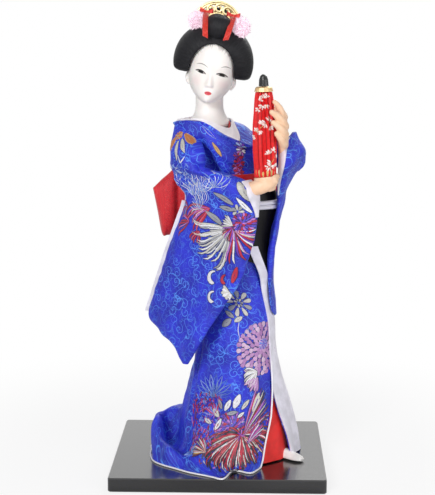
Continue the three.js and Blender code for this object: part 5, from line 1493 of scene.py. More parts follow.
def petal_ball(name, centre, radius, petal, seed, look):
    """A gathered ball of thin curled petals round a place."""
    f = Former(name + "_former", Radius=float(radius), Petal=float(petal), Seed=seed)
    ball = f.node("GeometryNodeMeshIcoSphere", None, {"Radius": f.given("Radius"), "Subdivisions": 3})
    spots = f.node("GeometryNodeDistributePointsOnFaces", None,
                   {"Mesh": ball, "Density": PETALS_PER_SQUARE_METRE, "Seed": f.given("Seed")})
    disc = f.node("GeometryNodeMeshGrid", None,
                  {"Size X": f.given("Petal"), "Size Y": f.given("Petal"), "Vertices X": 5, "Vertices Y": 5})
    place = f.node("GeometryNodeInputPosition")
    x, y, _ = f.split(place)
    size = f.given("Petal")
    curl = (x * x + y * y) / size * 1.2 + f.math("SINE", x / size * 9.0) * size * 0.08
    petal_shape = f.node("GeometryNodeSetPosition", None,
                         {"Geometry": disc, "Offset": f.join(0.0, 0.0, curl)})
    tilt = f.node("FunctionNodeRandomValue", {"data_type": "FLOAT_VECTOR"},
                  {0: (-0.45, -0.45, -3.1), 1: (0.45, 0.45, 3.1), "Seed": f.given("Seed")})
    facing = Wire(f, spots.socket.node.outputs["Rotation"])
    turn = f.node("FunctionNodeRotateRotation", {"rotation_space": "LOCAL"}, {0: facing, 1: tilt})
    grow = f.node("FunctionNodeRandomValue", {"data_type": "FLOAT"},
                  {2: 0.7, 3: 1.25, "Seed": f.given("Seed")}, 1)
    petals = f.node("GeometryNodeInstanceOnPoints", None,
                    {"Points": spots, "Instance": petal_shape, "Rotation": turn, "Scale": grow})
    both = f.node("GeometryNodeJoinGeometry", None, {0: petals})
    f.tree.links.new(ball.socket, both.socket.node.inputs[0])
    there = f.node("GeometryNodeTransform", None,
                   {"Geometry": both, "Translation": tuple(c * MM for c in centre)})
    return f.make(name, there, bpy.data.meshes.new(name), look)


# Operators

def sizes():
    return bpy.context.scene.doll_sizes


def chosen(name):
    """A colour that the user has set."""
    return tuple(getattr(bpy.context.scene.doll_colours, name))


def dress_node(name, look):
    """A CAD node keeps its shape and gets a finish."""
    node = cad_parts[name]
    node.data.materials.clear()
    node.data.materials.append(look)


class DOLL_OT_plinth(bpy.types.Operator):
    """Finish the plinth, its screw and the post"""
    bl_idname = "doll.plinth"
    bl_label = "Plinth"

    def execute(self, context):
        dress_node("base_board", lacquer_finish("black lacquer", chosen("lacquer")))
        dress_node("base_screw", metal_finish("steel", srgb(190, 190, 190)))
        dress_node("support_post", wood_finish("post wood", srgb(206, 176, 128), srgb(168, 132, 88)))
        dress_node("neck_socket", moulded_finish("socket plastic", srgb(216, 212, 204)))
        return {"FINISHED"}


STUFFING_FOOT = 18.4


class DOLL_OT_stuffing(bpy.types.Operator):
    """Make the stuffed body and the padded arms"""
    bl_idname = "doll.stuffing"
    bl_label = "Stuffing"

    def execute(self, context):
        look = cloth_finish("packed fibre", srgb(232, 226, 210), 0.9, 1.4, 0.6, 0.4)
        legs = body_rings(STUFFING_FOOT, SKIRT_TOP, -3.0, 60)
        settle(skin("skirt_stuffing_form", legs, look, lengths(legs)), "doll", "stuffing", "skirt_stuffing")
        turn = round_body(96)
        low = on_body(turn, np.linspace(SKIRT_TOP + 0.4, 168, 16)[:, None], -2.4)
        high = bodice_point(turn, np.linspace(0.05, 0.97, 30)[:, None])
        middle = high.mean(axis=1, keepdims=True)
        high = middle + (high - middle) * 0.88
        torso = np.concatenate([low, high])
        settle(skin("torso_stuffing_form", torso, look, lengths(torso)), "doll", "stuffing", "torso_stuffing")
        for name, points in (("right_arm", RIGHT_ARM), ("left_arm", LEFT_ARM)):
            raised = np.asarray(points, float) + (0, 0, PLINTH_TOP)
            rings = limb_rings(raised, [3.8, 3.8, 3.0], 24, 50)
            settle(skin(name + "_form", rings, look, lengths(rings)), "doll", "stuffing", name)
        return {"FINISHED"}


# Each foot's heel and toe, and its rows of the way along, half-width and height.
FEET = {"left_foot": ((35, -13), (54, -26.5)), "right_foot": ((3, -2), (-1, -25))}
FOOT = [[0, 2.2, 3.5], [0.12, 3.4, 6.6], [0.4, 3.5, 6.6], [0.65, 4.1, 5.2], [0.88, 4, 3.6], [1, 2.3, 2.2]]


def foot_rings(heel, toe):
    """A foot's rings, with the big toe parted from the others, and the place of its ankle."""
    heel, toe = np.array(heel, float), np.array(toe, float)
    length = np.linalg.norm(toe - heel)
    ahead = (toe - heel) / length
    beside = np.array([-ahead[1], ahead[0]])
    share = np.linspace(0, 1, 40)
    half, height = through(FOOT, share)
    turn = full_turn(48)
    split = 1.3 * smooth(share, 0.72, 0.95)[:, None] * bell(np.cos(turn), 0.3, 0.12)
    split = split * (np.sin(turn) > 0)
    side = half[:, None] * np.cos(turn)
    up = 1.2 + np.sin(turn) * np.where(np.sin(turn) > 0, height[:, None] - 1.2, 0.9)
    up = np.maximum(up - split, 0.2) + GAP + PLINTH_TOP
    middle = heel + share[:, None] * length * ahead
    rings = xyz(middle[:, :1] + side * beside[0], middle[:, 1:] + side * beside[1], up)
    return rings, heel + 0.25 * length * ahead


class DOLL_OT_feet(bpy.types.Operator):
    """Make the feet in their split-toed socks"""
    bl_idname = "doll.feet"
    bl_label = "Feet"

    def execute(self, context):
        look = cloth_finish("white cotton", srgb(240, 238, 236), 0.75, 2.2, 0.2, 0.2)
        for name, (heel, toe) in FEET.items():
            rings, ankle = foot_rings(heel, toe)
            sole = skin(name + "_sole", rings, look)
            leg = limb_rings([(*ankle, height + PLINTH_TOP) for height in (5, 11, 17)], [3.4, 3.1, 3.0])
            made = fused(name + "_sock", [sole, skin(name + "_leg", leg, look)], look, 0.3, 4)
            lay_uv(made.data, places(made)[:, :2])
            settle(made, "doll", "sock_cloth", name)
        return {"FINISHED"}


UNDER_ROBE_TOP = 70.0
# The turned-out lining: rows of the way up, width in degrees and how far it lies off the skirt.
LINING_STRIP = [
    [0, 28, GAP], [0.3, 37, GAP], [0.57, 45, GAP], [0.75, 38, GAP], [0.88, 22, GAP], [0.93, 18, 2.6],
    [1, 18, 2.6],
]
LINING_FOOT = 0.985  # share of the way down the skirt at which the lining ends
EDGE_PIPED = (0.3, 0.97)  # shares of the way down between which the front edge has piping
HEM_PIPED = (-67.5, -215)  # turns in degrees between which the hem has piping


def under_robe_grid():
    """The under-robe's points, tucked in behind the skirt's deep fold."""
    turn = round_body(160)
    tuck = 4.6 * bell(turn_between(turn, FOLD_TURN), 0, 0.2)
    under = body_rings(1.0, UNDER_ROBE_TOP, -CLOTH - GAP - tuck, 60, 160)
    under[..., :2] *= 1 - 0.006 * (1 + np.sin(13 * turn))[..., None]
    return under


def lining_grid():
    """The lining's points on the skirt, and how far its inner side lies off them."""
    up = np.linspace(0, 1, 120)[:, None]
    v = LINING_FOOT - LINING_FOOT * up
    height = skirt_height(v)
    width, off = through(LINING_STRIP, up)
    start = through(FRONT_EDGE, height)[0] + through(OPENING, height)[0]
    start = start - 1.2 - 8 * smooth(up, 0.9, 1)
    across = np.linspace(0, 1, 40)[None]
    grid = skirt_point(np.radians(start + width * across - 360), v)
    folds = 0.35 * np.sin(across * 9 + up * 3) * smooth(up, 0.9, 0.4)
    return grid, off + folds


def piping_line(radius):
    """The middle of the piping, down the front edge and round the hem."""
    edge_v = np.linspace(*EDGE_PIPED, 60)
    edge_turn = np.radians(through(FRONT_EDGE, skirt_height(edge_v))[0])
    edge = skirt_point(edge_turn, edge_v)
    edge += xyz(np.cos(edge_turn), np.sin(edge_turn), 0.0) * (radius + 0.9)
    hem_turn = np.radians(np.linspace(*HEM_PIPED, 240))
    hem = skirt_point(hem_turn, np.ones_like(hem_turn))
    ahead = unit(np.gradient(hem, axis=0))
    away = xyz(-ahead[:, 1], ahead[:, 0], 0.0)
    above = skirt_point(hem_turn, np.linspace(0.95, 1, 12)[:, None])
    over = np.clip(((above - hem) * away).sum(-1).max(0), 0, 2)
    hem += away * (over + radius + 0.1)[:, None]
    hem[:, 2] = PLINTH_TOP + radius + 0.1
    return line_through(np.r_[edge[::6], hem[2::2]], 480)


class DOLL_OT_skirt(bpy.types.Operator):
    """Make the robe's skirt, its piping and lining, and the under-robe"""
    bl_idname = "doll.skirt"
    bl_label = "Skirt"

    def execute(self, context):
        points, uv = skirt_grid()
        look = brocade_finish("skirt brocade", chosen("robe"))
        skirt = shell("robe_skirt_cloth", points, look, -sizes().cloth / MM, 0.0, uv)
        settle(skirt, "doll", "blue_brocade", "robe_skirt")
        laid = skirt_threads().lay("robe_skirt_threads", points, uv, thread_finish("skirt threads"))
        settle(laid, "doll", "blue_brocade")

        under = under_robe_grid()
        # painted light: this red is lighter than the red silk of the scarf and collars, to make up for the
        # shade it stands in behind the skirt
        red_look = cloth_finish("red silk", srgb(234, 38, 34), 0.45, 3.0, 0.3)
        robe = shell("under_robe_cloth", under, red_look, -LINING, 0.0, lengths(under), True)
        settle(robe, "doll", "red_silk", "under_robe")

        grid, inner = lining_grid()
        white_look = cloth_finish("white silk lining", chosen("white"), 0.5, 3.2, 0.4)
        outer = inner + sizes().lining / MM
        lining = shell("front_lining_cloth", grid, white_look, inner, outer, lengths(grid))
        settle(lining, "doll", "white_silk", "front_lining")

        piping_look = cloth_finish("white piping", srgb(244, 243, 248), 0.55, 3.0, 0.2)
        line = piping_line(sizes().piping / MM)
        piping = cord_along("hem_piping_cord", [line], sizes().piping, piping_look)
        settle(piping, "doll", "white_silk", "hem_piping")
        return {"FINISHED"}


class DOLL_OT_bodice(bpy.types.Operator):
    """Make the bodice with its crossed front, and the collars"""
    bl_idname = "doll.bodice"
    bl_label = "Bodice"

    def execute(self, context):
        points, uv, turn, v = bodice_grid()
        edge = np.radians(through(OVERLAP, v)[0])
        gone = turn_between(turn, edge)
        over = smooth(gone, 0.03, -0.03) * smooth(gone, -2.6, -1.9)
        lift = 0.8 * over * smooth(v, 0.12, 0.3)
        look = brocade_finish("bodice brocade", chosen("robe"))
        bodice = shell("robe_bodice_cloth", points, look, -CLOTH, lift, uv, True)
        settle(bodice, "doll", "blue_brocade", "robe_bodice")
        outside = points + grid_normals(points, True) * lift[..., None]
        laid = bodice_threads().lay("robe_bodice_threads", outside, uv, thread_finish("bodice threads"))
        settle(laid, "doll", "blue_brocade")
        white_look = cloth_finish("white collar silk", srgb(249, 244, 250), 0.5, 3.2, 0.2)
        red_look = cloth_finish("red collar silk", chosen("red"), 0.45, 3.0, 0.2)
        for name, slot, finish, red in (("white_collar", "white_silk", white_look, False),
                                        ("red_collar", "red_silk", red_look, True)):
            grid = collar_grid(red)
            band = shell(name + "_band", grid, finish, 0.0, sizes().lining / MM, lengths(grid), True)
            settle(band, "doll", slot, name)
        return {"FINISHED"}


class DOLL_OT_sash(bpy.types.Operator):
    """Make the sash, its cord and the scarf above it"""
    bl_idname = "doll.sash"
    bl_label = "Sash"

    def execute(self, context):
        turn = round_body(180)
        low = SASH_BOTTOM - SASH_SLANT * np.cos(turn - 1.0)
        height = lerp(low, SASH_TOP, np.linspace(0, 1, 50)[:, None])
        grid = on_body(turn, height, GAP + sash_hip(turn, height))
        look = satin_finish("black satin", chosen("sash"))
        sash = shell("sash_cloth", grid, look, 0.0, SASH_THICKNESS, lengths(grid), True)
        settle(sash, "doll", "black_satin", "sash")
        radius = sizes().cord / MM
        turn = np.linspace(-np.pi, np.pi, 160, endpoint=False)
        heights = [CORD_HEIGHT + side * radius for side in (-1, 1)]
        beyond = GAP + SASH_THICKNESS + radius + 0.1
        lines = [on_body(turn, height, beyond + sash_hip(turn, height)) for height in heights]
        cord_look = cloth_finish("white cord", srgb(232, 230, 240), 0.5, 2.4, 0.3)
        cords = cord_along("sash_cord_pair", lines, sizes().cord, cord_look, True, 14)
        settle(cords, "doll", "white_silk", "sash_cord")
        rows = np.linspace(0, 1, 24)[:, None]
        turns = round_body(240)
        wrinkle = 0.35 * np.sin(turns * 5 + rows * 5) + 0.25 * np.sin(turns * 11 - rows * 7)
        wrinkle = wrinkle * np.sin(np.pi * rows)
        scarf_grid = on_body(turns, lerp(SASH_TOP + GAP, SASH_TOP + GAP + SCARF_HEIGHT, rows), GAP)
        bulge = 1.5 + 0.8 * np.sin(np.pi * rows) + wrinkle
        scarf_look = cloth_finish("red scarf silk", chosen("red"), 0.5, 2.6, 0.4)
        scarf = shell("sash_scarf_cloth", scarf_grid, scarf_look, 0.0, bulge, lengths(scarf_grid), True)
        settle(scarf, "doll", "red_silk", "sash_scarf")
        return {"FINISHED"}


BOW_AT = np.array([-1, 23, 168 + PLINTH_TOP])
BOW_TURN = math.radians(14)
BOW_SPAN = 44.0
# A loop of the bow: rows of the way out, top, bottom and thickness.
BOW = [
    [0.08, 5, -5, 3], [0.3, 13, -16, 6], [0.55, 18.5, -24, 7.5], [0.62, 19, -25.5, 7.5],
    [0.8, 12.5, -27, 6.5], [0.87, 10, -26, 5.5], [0.93, 7.5, -12, 3.6], [1, 4.6, 3.6, 1],
]
KNOT = (6.5, 5.85, 8.8)  # half-sizes of the bow's knot


def bow_loop(side, sides=72, steps=80):
    """A folded loop of the bow: rings from the knot out to its corner."""
    share = np.linspace(BOW[0][0], 1, steps)
    top, bottom, thick = through(BOW, share)
    thick = thick - 3.0 * bell(share, 0.64, 0.06)
    along = np.array([side * math.cos(BOW_TURN), side * math.sin(BOW_TURN), 0])
    deep = np.array([-math.sin(BOW_TURN), math.cos(BOW_TURN), 0])
    turn = full_turn(sides)
    pleat = 0.5 * np.cos(4 * turn) * bell(share, 0.25, 0.25)[:, None]
    centre = BOW_AT + share[:, None] * BOW_SPAN * along + xyz(0.0, 0.0, (top + bottom) / 2)
    tall = (top - bottom) / 2
    width = np.sign(np.cos(turn)) * np.abs(np.cos(turn)) ** 0.8
    return (centre[:, None] + ((thick[:, None] + pleat) * np.sin(turn))[..., None] * deep
            + (tall[:, None] * width)[..., None] * np.array([0, 0, 1.0]))


class DOLL_OT_bow(bpy.types.Operator):
    """Make the bow behind the sash"""
    bl_idname = "doll.bow"
    bl_label = "Bow"

    def execute(self, context):
        look = red_brocade_finish("red brocade", chosen("bow"))
        for name, side in (("bow_left_loop", -1), ("bow_right_loop", 1)):
            rings = outside_body(bow_loop(side), 5.5)
            loop = skin(name + "_cloth", rings, look, lengths(rings))
            settle(loop, "doll", "red_brocade", name)
        turn = full_turn(48)
        rise = np.radians(np.linspace(-82, 82, 30))
        crease = 1 + 0.05 * np.cos(5 * turn)
        wide, deep, tall = KNOT
        level = np.cos(rise)[:, None]
        ball = xyz(wide * level * np.cos(turn) * crease, deep * level * np.sin(turn) * crease,
                   tall * np.sin(rise)[:, None])
        ball = outside_body(ball + BOW_AT, 4.6)
        knot = skin("bow_knot_cloth", ball, look, lengths(ball))
        settle(knot, "doll", "red_brocade", "bow_knot")
        return {"FINISHED"}


LEFT_CAP = [(15, 4, 203), (30, 4, 200), (46, -1, 193)]  # the left sleeve's line over the upper arm
RIGHT_LINING = (92, 166)  # heights between which the right sleeve's back edge shows its lining
# Cuffs: node, sleeve, the end that they lie at, heights, how far they show, and shares of the thickness.
CUFFS = (
    ("right_cuff_lining", RIGHT_SLEEVE, 1, 160, 182, 9, -0.34, 0.4),
    ("left_cuff_lining", LEFT_SLEEVE, 0, 172, 208, 2, -0.12, 0.44),
)


def lining_edge_grid():
    """The strip of lining that shows along the right sleeve's back edge."""
    height = np.linspace(*RIGHT_LINING, 70)
    tip, _, along, thick = sleeve_section(RIGHT_SLEEVE, height)
    out = np.linspace(-2.0, 3.2, 9)
    x = tip[:, :1] - along[:, :1] * out
    y = tip[:, 1:] - along[:, 1:] * out + 0.06 * thick
    return xyz(x, y, height[:, None] + PLINTH_TOP)


def cuff_grid(rows, end, low, high, shown, first, last):
    """The lining that shows at a cuff, curved out of the sleeve's end."""
    height = np.linspace(low, high, 40)
    *ends, along, thick = sleeve_section(rows, height)
    tip = ends[end]
    way = 1 if end else -1
    share = np.linspace(first, last, 16) * -way
    rise = np.linspace(0, 1, 40)[:, None]
    out = way * (GAP + shown * (0.25 - share ** 2) * lerp(0.1, 1, rise) * smooth(rise, 1, 0.8))
    wide = share * thick * lerp(0.25, 1, smooth(rise, 0, 0.7))
    x = tip[:, :1] + along[:, :1] * out - along[:, 1:] * wide
    y = tip[:, 1:] + along[:, 1:] * out + along[:, :1] * wide
    return xyz(x, y, height[:, None] + PLINTH_TOP)


class DOLL_OT_sleeves(bpy.types.Operator):
    """Make the hanging sleeves and their cuff linings"""
    bl_idname = "doll.sleeves"
    bl_label = "Sleeves"

    def execute(self, context):
        white_look = cloth_finish("white cuff silk", chosen("white"), 0.5, 3.2, 0.3)
        look, silk = brocade_finish("sleeve brocade", chosen("robe")), thread_finish("sleeve threads")
        for name, drawn in (("right_sleeve", right_sleeve_threads()), ("left_sleeve", left_sleeve_threads())):
            rings, uv = sleeve_cloth(name)
            forms = skin(name + "_cloth", rings, look, uv, 60)
            fold = SLEEVE_SIDES // 2
            front, behind = slice(fold, SLEEVE_SIDES + 1), slice(0, fold + 1)
            for side, part, threads in (("front", front, drawn[0]), ("back", behind, drawn[1])):
                laid = threads.lay(f"{name}_{side}_threads", rings[:, part], uv[:, part], silk)
                settle(laid, "doll", "blue_brocade")
            settle(forms, "doll", "blue_brocade", name)
        grid = lining_edge_grid()
        edge = shell("right_sleeve_lining_edge", grid, white_look, -LINING / 2, LINING / 2, lengths(grid))
        settle(edge, "doll", "white_silk")
        upper = limb_rings(np.array(LEFT_CAP, float) + (0, 0, PLINTH_TOP), [8, 9, 9], 48, 40)
        cap = skin("left_sleeve_cap", upper, look, lengths(upper) + (0, 100))
        settle(cap, "doll", "blue_brocade")
        for name, *cuff in CUFFS:
            grid = cuff_grid(*cuff)
            lining = shell(name + "_cloth", grid, white_look, -LINING, 0.0, lengths(grid))
            settle(lining, "doll", "white_silk", name)
        return {"FINISHED"}


class DOLL_OT_hands(bpy.types.Operator):
    """Make the two cast hands round the parasol"""
    bl_idname = "doll.hands"
    bl_label = "Hands"

    def execute(self, context):
        look = hand_finish("painted flesh", chosen("hands"))
        for name, limbs in (("right_hand", RIGHT_HAND), ("left_hand", LEFT_HAND)):
            forms = []
            for k, (points, radii) in enumerate(limbs):
                raised = np.asarray(points, float) + (0, 0, PLINTH_TOP)
                forms.append(skin(f"{name}_{k}", limb_rings(raised, radii), look))
            made = fused(name + "_cast", forms, look, 0.32, 7)
            move_points(made, outside_parasol(places(made), 0.15))
            settle(made, "doll", "hand_skin", name)
        return {"FINISHED"}


def skull_rings():
    """The head's rings, with a nose, eye sockets, lips and a chin on the side of the face."""
    z = np.linspace(HEAD[0][0], HEAD[-1][0], 150)
    half, front, back = through(HEAD, z)
    turn = full_turn(180)
    x = half[:, None] * np.cos(turn)
    zz = np.broadcast_to(z[:, None], x.shape)
    facing = smooth(-np.sin(turn), 0.1, 0.5)[None]
    length = smooth(zz, 1.5, -6.5)
    nose = (0.4 + 1.7 * length) * bell(x, 0, 1.1 + 0.75 * length)
    nose = nose * smooth(zz, 4.5, 0) * smooth(zz, -9.6, -7.6)
    wings = 0.7 * (bell(x, 1.7, 0.8) + bell(x, -1.7, 0.8)) * bell(zz, -7.6, 1.2)
    sockets = -0.75 * (bell(x, 6.6, 3.6) + bell(x, -6.6, 3.6)) * bell(zz, -0.3, 2.6)
    lips = 0.75 * bell(x, 0, 2.4) * (bell(zz, -11.6, 0.75) + bell(zz, -13.3, 0.85))
    lips = lips - 0.3 * bell(x, 0, 3.0) * bell(zz, -12.4, 0.4)
    chin = 0.9 * bell(x, 0, 3.6) * bell(zz, -16.2, 2.4)
    forms = facing * (nose + wings + sockets + lips + chin)
    deep = np.where(np.sin(turn)[None] < 0, front[:, None] + forms, back[:, None])
    return to_doll(xyz(x, deep * np.sin(turn), zz))


def throat_rings(foot):
    """The neck's rings, from its foot up."""
    rows = [[foot + rise, radius] for rise, radius in THROAT]
    height = np.linspace(foot, rows[-1][0], 60)[:, None]
    radius = through(rows, height)[0]
    around = full_turn(64)
    return xyz(NECK[0] + radius * np.cos(around), NECK[1] + radius * np.sin(around), height)


class DOLL_OT_head(bpy.types.Operator):
    """Make the head casting with its neck, ears and painted face"""
    bl_idname = "doll.head"
    bl_label = "Head"

    def execute(self, context):
        look = face_finish("painted face", chosen("skin"), srgb(216, 78, 88))
        foot = THROAT_FOOT + PLINTH_TOP
        peg = limb_rings([(*NECK, foot + rise) for rise in (-13, -5, 4)], [3.6, 3.8, 3.8])
        parts = (("skull", skull_rings()), ("throat", throat_rings(foot)), ("peg", peg))
        pieces = [skin(name, rings, look) for name, rings in parts]
        for side in (-1, 1):
            lobe = [(side * 13.6, 1.6, -8.2), (side * 14.6, 1.9, -5), (side * 14.2, 2.2, -1.6)]
            pieces.append(skin("ear", to_doll(limb_rings(lobe, [1.2, 1.7, 1.4], 16, 16)), look))
        head = fused("head_cast", pieces, look, 0.34, 5)
        store(head, "face", to_head(places(head)))
        settle(head, "head", "face_skin", "head")
        return {"FINISHED"}


class DOLL_OT_wig(bpy.types.Operator):
    """Make the wig: its cap with side wings, the crest and the bun"""
    bl_idname = "doll.wig"
    bl_label = "Wig"

    def execute(self, context):
        look = hair_finish("black hair", chosen("hair"))
        cap = skin("cap", to_doll(oval_rings(HAIR, 60, 96, 1.0)), look)
        nape = skin("nape", to_doll(oval_rings(NAPE, 30, 64, 15.5)), look)
        wide, tall, middle = FACE_OPENING
        turn = full_turn(96)
        tunnel = xyz(wide * np.cos(turn), np.array([[-42.0], [-2.0]]), middle + tall * np.sin(turn))
        opening = skin("opening", to_doll(tunnel), look)
        room = oval_rings(HEAD, 60, 72)
        room[..., :2] *= 1.06
        skull = skin("room", to_doll(room), look)
        made = fused("hair_cap_fibre", [cap, nape], look, 0.45, 9, [opening, skull])
        local = to_head(places(made))
        around = np.arctan2(local[:, 0], local[:, 2] - 2.0) * 16
        far = np.hypot(local[:, 0], local[:, 2] - 2.0)
        store(made, "comb_way", xyz(around, far, local[:, 1]))
        settle(made, "head", "hair", "hair_cap")
        for name, rows, y in (("hair_crest", CREST, -8.5), ("hair_bun", BUN, 12.0)):
            form = skin(name + "_fibre", to_doll(oval_rings(rows, 50, 80, y)), look)
            store(form, "comb_way", to_head(places(form))[:, [0, 2, 1]])
            settle(form, "head", "hair", name)
        return {"FINISHED"}


def comb_lines():
    """The comb's wires: its arcs, and a row of coils between them."""
    turn = np.linspace(0, np.pi, 80)
    lines = [xyz(COMB_X + wide * np.cos(turn), COMB_Y, COMB_Z + tall * np.sin(turn))
             for wide, tall in COMB_ARCS]
    for k in range(COMB_COILS):
        middle = math.pi * (k + 0.5) / COMB_COILS
        coil = np.linspace(0, 2.2 * math.pi, 40)
        r = 2.7 - 0.75 * coil / math.pi
        x = COMB_X + 11.2 * math.cos(middle) + r * np.cos(coil + middle)
        z = COMB_Z + 11.4 * math.sin(middle) + r * np.sin(coil + middle)
        lines.append(xyz(x, COMB_Y, z))
    return [to_doll(line) for line in lines]


def ribbon_loop(at, way):
    """A small loop of ribbon to one side of a place on the head."""
    turn = full_turn(40)
    deep = np.linspace(-1.1, 1.1, 5)[:, None]
    swell = 1 - np.cos(turn)
    x = way * 2.0 * swell
    z = deep * (0.5 + 0.4 * swell) + 0.2 * x * way
    loop = to_doll(at + (0, -0.6, 1.3) + xyz(x, 0.8 * np.sin(turn) * swell, z))
    return loop if way > 0 else loop[:, ::-1]


class DOLL_OT_hair_ornaments(bpy.types.Operator):
    """Make the comb, the ribbons and the tulle blossoms"""
    bl_idname = "doll.hair_ornaments"
    bl_label = "Hair ornaments"

    def execute(self, context):
        gold = metal_finish("gilt", chosen("gold"), 0.36)
        comb = cord_along("comb_gilt", comb_lines(), COMB_WIRE * MM, gold, False, 10)
        settle(comb, "head", "gold", "comb")
        red_look = red_brocade_finish("red ribbon", srgb(222, 44, 26))
        for name, side in (("left_ribbon", -1), ("right_ribbon", 1)):
            line = line_through((RIBBON + (7.4, 0, 0)) * (side, 1, 1) - (0.4, 0, 0), 40)
            across = unit(np.array([side * 0.9, -0.25, 0.3])) * side
            share = np.linspace(-1.8, 1.8, 10)
            grid = to_doll(line[:, None] + share[None, :, None] * across)
            strip = shell(name + "_strip", grid, red_look, -LINING / 2, LINING / 2, lengths(grid))
            settle(strip, "head", "red_silk", name)
            for end, way in (("outer", side), ("inner", -side)):
                loop = ribbon_loop(line[5], way)
                bow = shell(f"{name}_{end}_bow", loop, red_look, -0.25, 0.25, lengths(loop), True)
                settle(bow, "head", "red_silk")
        tulle = tulle_finish("pink tulle", chosen("tulle"))
        for name, centre, radius, seed in BLOSSOMS:
            ball = petal_ball(name + "_tulle", to_doll(centre), radius * MM, sizes().petal, seed, tulle)
            settle(ball, "head", "tulle", name)
        return {"FINISHED"}


def paper_grid(depth):
    """The paper's rings, with pleats of that depth, and its uv."""
    turn = np.linspace(-np.pi / 2 - np.pi, -np.pi / 2 + np.pi, PLEATS * 12 + 1)[None]
    z = np.linspace(0, PARASOL_LENGTH, 60)[:, None]
    share = z / PARASOL_LENGTH
    radius = through(PARASOL_RADIUS, share)[0]
    fold = np.abs(((PLEATS * (turn + PLEAT_LEAN * share) / (2 * np.pi)) % 1) - 0.5) * 2
    r = radius - depth * fold ** 0.8
    rings = xyz(r * np.cos(turn), r * np.sin(turn), z)
    uv = np.stack(np.broadcast_arrays((turn + np.pi / 2) * PAPER_UNROLLED, z), axis=2)
    return from_parasol(rings), uv


class DOLL_OT_parasol(bpy.types.Operator):
    """Make the closed parasol: paper, shaft, band, cap and ribs"""
    bl_idname = "doll.parasol"
    bl_label = "Parasol"

    def execute(self, context):
        paper_look = paper_finish("printed red paper", chosen("paper"))
        rings, uv = paper_grid(sizes().pleat / MM)
        paper = skin("parasol_paper_pleats", rings, paper_look, uv, 40)
        settle(paper, "parasol", "red_paper", "parasol_paper")
        print_look = thread_finish("printed sprays")
        laid = paper_sprays().lay("parasol_sprays", rings, uv, print_look)
        settle(laid, "parasol", "red_paper")
        gold = metal_finish("gilt band", srgb(222, 190, 142), 0.45)
        dress_node("parasol_band", gold)
        dress_node("parasol_cap", moulded_finish("black plastic", srgb(22, 24, 24), 0.25))
        shaft = wood_finish("varnished shaft", srgb(196, 148, 92), srgb(150, 104, 58), 0.4)
        dress_node("parasol_shaft", shaft)
        dress_node("parasol_ribs", shaft)
        return {"FINISHED"}


# The stage, in metres but for the floor's millimetres. Lamps have a name, place, size and power.
WHITE = (1.0, 1.0, 1.0, 1.0)
FLOOR = (0.92, 0.92, 0.92, 1.0)
FLOOR_HALF = 4000.0
FLOOR_FADE = (100.0, 320.0)
ROOM_LIGHT = 0.15
LAMPS_AIM = (0, 0, 0.15)
LAMPS = (
    ("key", (-0.55, -1.1, 0.75), 0.5, 11.5),
    ("fill", (0.9, -0.9, 0.3), 0.9, 8.2),
    ("back", (0.3, 0.9, 0.9), 0.6, 6.0),
)
CAMERA_AT = (0.021376, -0.787638, 0.278245)
CAMERA_LENS = 89.77
CAMERA_YAW = 0.02885
CAMERA_PITCH = 0.16844


def floor_finish(name):
    """A pale floor that shows the doll's shadow, and to the camera is white further off."""
    n = Finish(name)
    path = n.node("ShaderNodeLightPath", None, None, "Is Camera Ray")
    glow = n.node("ShaderNodeEmission", None, {"Color": WHITE, "Strength": 1.0})
    plainly = n.node("ShaderNodeBsdfDiffuse", None, {"Color": FLOOR})
    far = n.vector("LENGTH", n.here(), output="Value")
    share = path * n.ramp(far, *FLOOR_FADE, 0.8, 1.0)
    floor_shader = n.node("ShaderNodeMixShader", None, {0: share, 1: plainly, 2: glow})
    n.node("ShaderNodeOutputMaterial", None, {"Surface": floor_shader})
    return n.material


def studio_world(name):
    """A dim white room, which the camera and what mirrors or lets through see as white."""
    world = bpy.data.worlds.new(name)
    world.use_nodes = True
    w = Nodes(world.node_tree)
    w.tree.nodes.clear()
    rays = ("Is Camera Ray", "Is Glossy Ray", "Is Transmission Ray")
    seen = [w.node("ShaderNodeLightPath", None, None, key) for key in rays]
    share = w.math("MAXIMUM", w.math("MAXIMUM", seen[0], seen[1]), seen[2])

    def sky(strength):
        return w.node("ShaderNodeBackground", None, {"Color": WHITE, "Strength": strength})
    both = w.node("ShaderNodeMixShader", None, {0: share, 1: sky(ROOM_LIGHT), 2: sky(1.0)})
    w.node("ShaderNodeOutputWorld", None, {"Surface": both})
    return world


def aimed(name, data, place, ahead):
    """A lamp or camera at a place, turned to look ahead."""
    made = bpy.data.objects.new(name, data)
    made.location = place
    made.rotation_euler = ahead.to_track_quat("-Z", "Y").to_euler()
    bpy.context.scene.collection.objects.link(made)
    return made


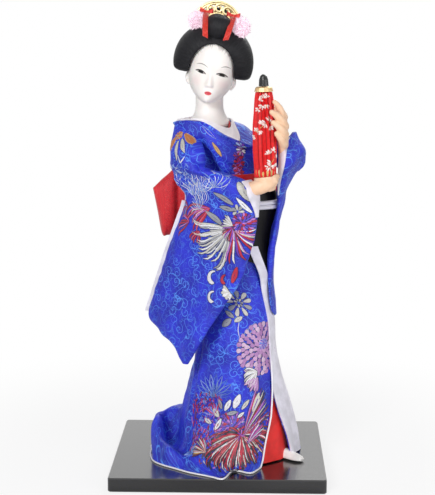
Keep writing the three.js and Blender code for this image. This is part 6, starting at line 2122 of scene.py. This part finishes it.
class DOLL_OT_stage(bpy.types.Operator):
    """Make the floor, the lights and the camera"""
    bl_idname = "doll.stage"
    bl_label = "Stage"

    def execute(self, context):
        scene = context.scene
        scene.view_settings.view_transform = "Standard"
        corners = [(FLOOR_HALF * x, FLOOR_HALF * y, 0) for x, y in ((-1, -1), (1, -1), (1, 1), (-1, 1))]
        floor = mesh_piece("floor", corners, [(0, 1, 2, 3)], floor_finish("pale floor"))
        scene.world = studio_world("studio")
        for name, place, size, power in LAMPS:
            lamp = bpy.data.lights.new(name, "AREA")
            lamp.size = size
            lamp.energy = power
            aimed(name, lamp, place, Vector(LAMPS_AIM) - Vector(place))
        camera = bpy.data.cameras.new("camera")
        camera.sensor_width = 36
        camera.lens = CAMERA_LENS
        camera.clip_start, camera.clip_end = 0.01, 50
        level = math.cos(CAMERA_PITCH)
        ahead = Vector((-math.sin(CAMERA_YAW) * level, math.cos(CAMERA_YAW) * level, -math.sin(CAMERA_PITCH)))
        scene.camera = aimed("camera", camera, CAMERA_AT, ahead)
        return {"FINISHED"}


OPERATORS = (
    DOLL_OT_stage, DOLL_OT_plinth, DOLL_OT_stuffing, DOLL_OT_feet, DOLL_OT_skirt, DOLL_OT_bodice,
    DOLL_OT_sash, DOLL_OT_bow, DOLL_OT_sleeves, DOLL_OT_hands, DOLL_OT_head, DOLL_OT_wig,
    DOLL_OT_hair_ornaments, DOLL_OT_parasol,
)


class DOLL_PT_panel(bpy.types.Panel):
    """The doll's pieces, sizes and colours"""
    bl_idname = "DOLL_PT_panel"
    bl_label = "Costume doll"
    bl_space_type = "VIEW_3D"
    bl_region_type = "UI"
    bl_category = "Doll"

    def draw(self, context):
        for operator in OPERATORS:
            self.layout.operator(operator.bl_idname)
        for group in (context.scene.doll_sizes, context.scene.doll_colours):
            for key in group.bl_rna.properties.keys():
                if key not in ("rna_type", "name"):
                    self.layout.prop(group, key)


CLASSES = (DollSizes, DollColours, *OPERATORS, DOLL_PT_panel)


def register():
    for made in CLASSES:
        bpy.utils.register_class(made)
    bpy.types.Scene.doll_sizes = bpy.props.PointerProperty(type=DollSizes)
    bpy.types.Scene.doll_colours = bpy.props.PointerProperty(type=DollColours)


def unregister():
    del bpy.types.Scene.doll_colours
    del bpy.types.Scene.doll_sizes
    for made in reversed(CLASSES):
        bpy.utils.unregister_class(made)


def main():
    register()
    for operator in OPERATORS:
        group, name = operator.bl_idname.split(".")
        getattr(getattr(bpy.ops, group), name)()


if __name__ == "__main__":
    main()
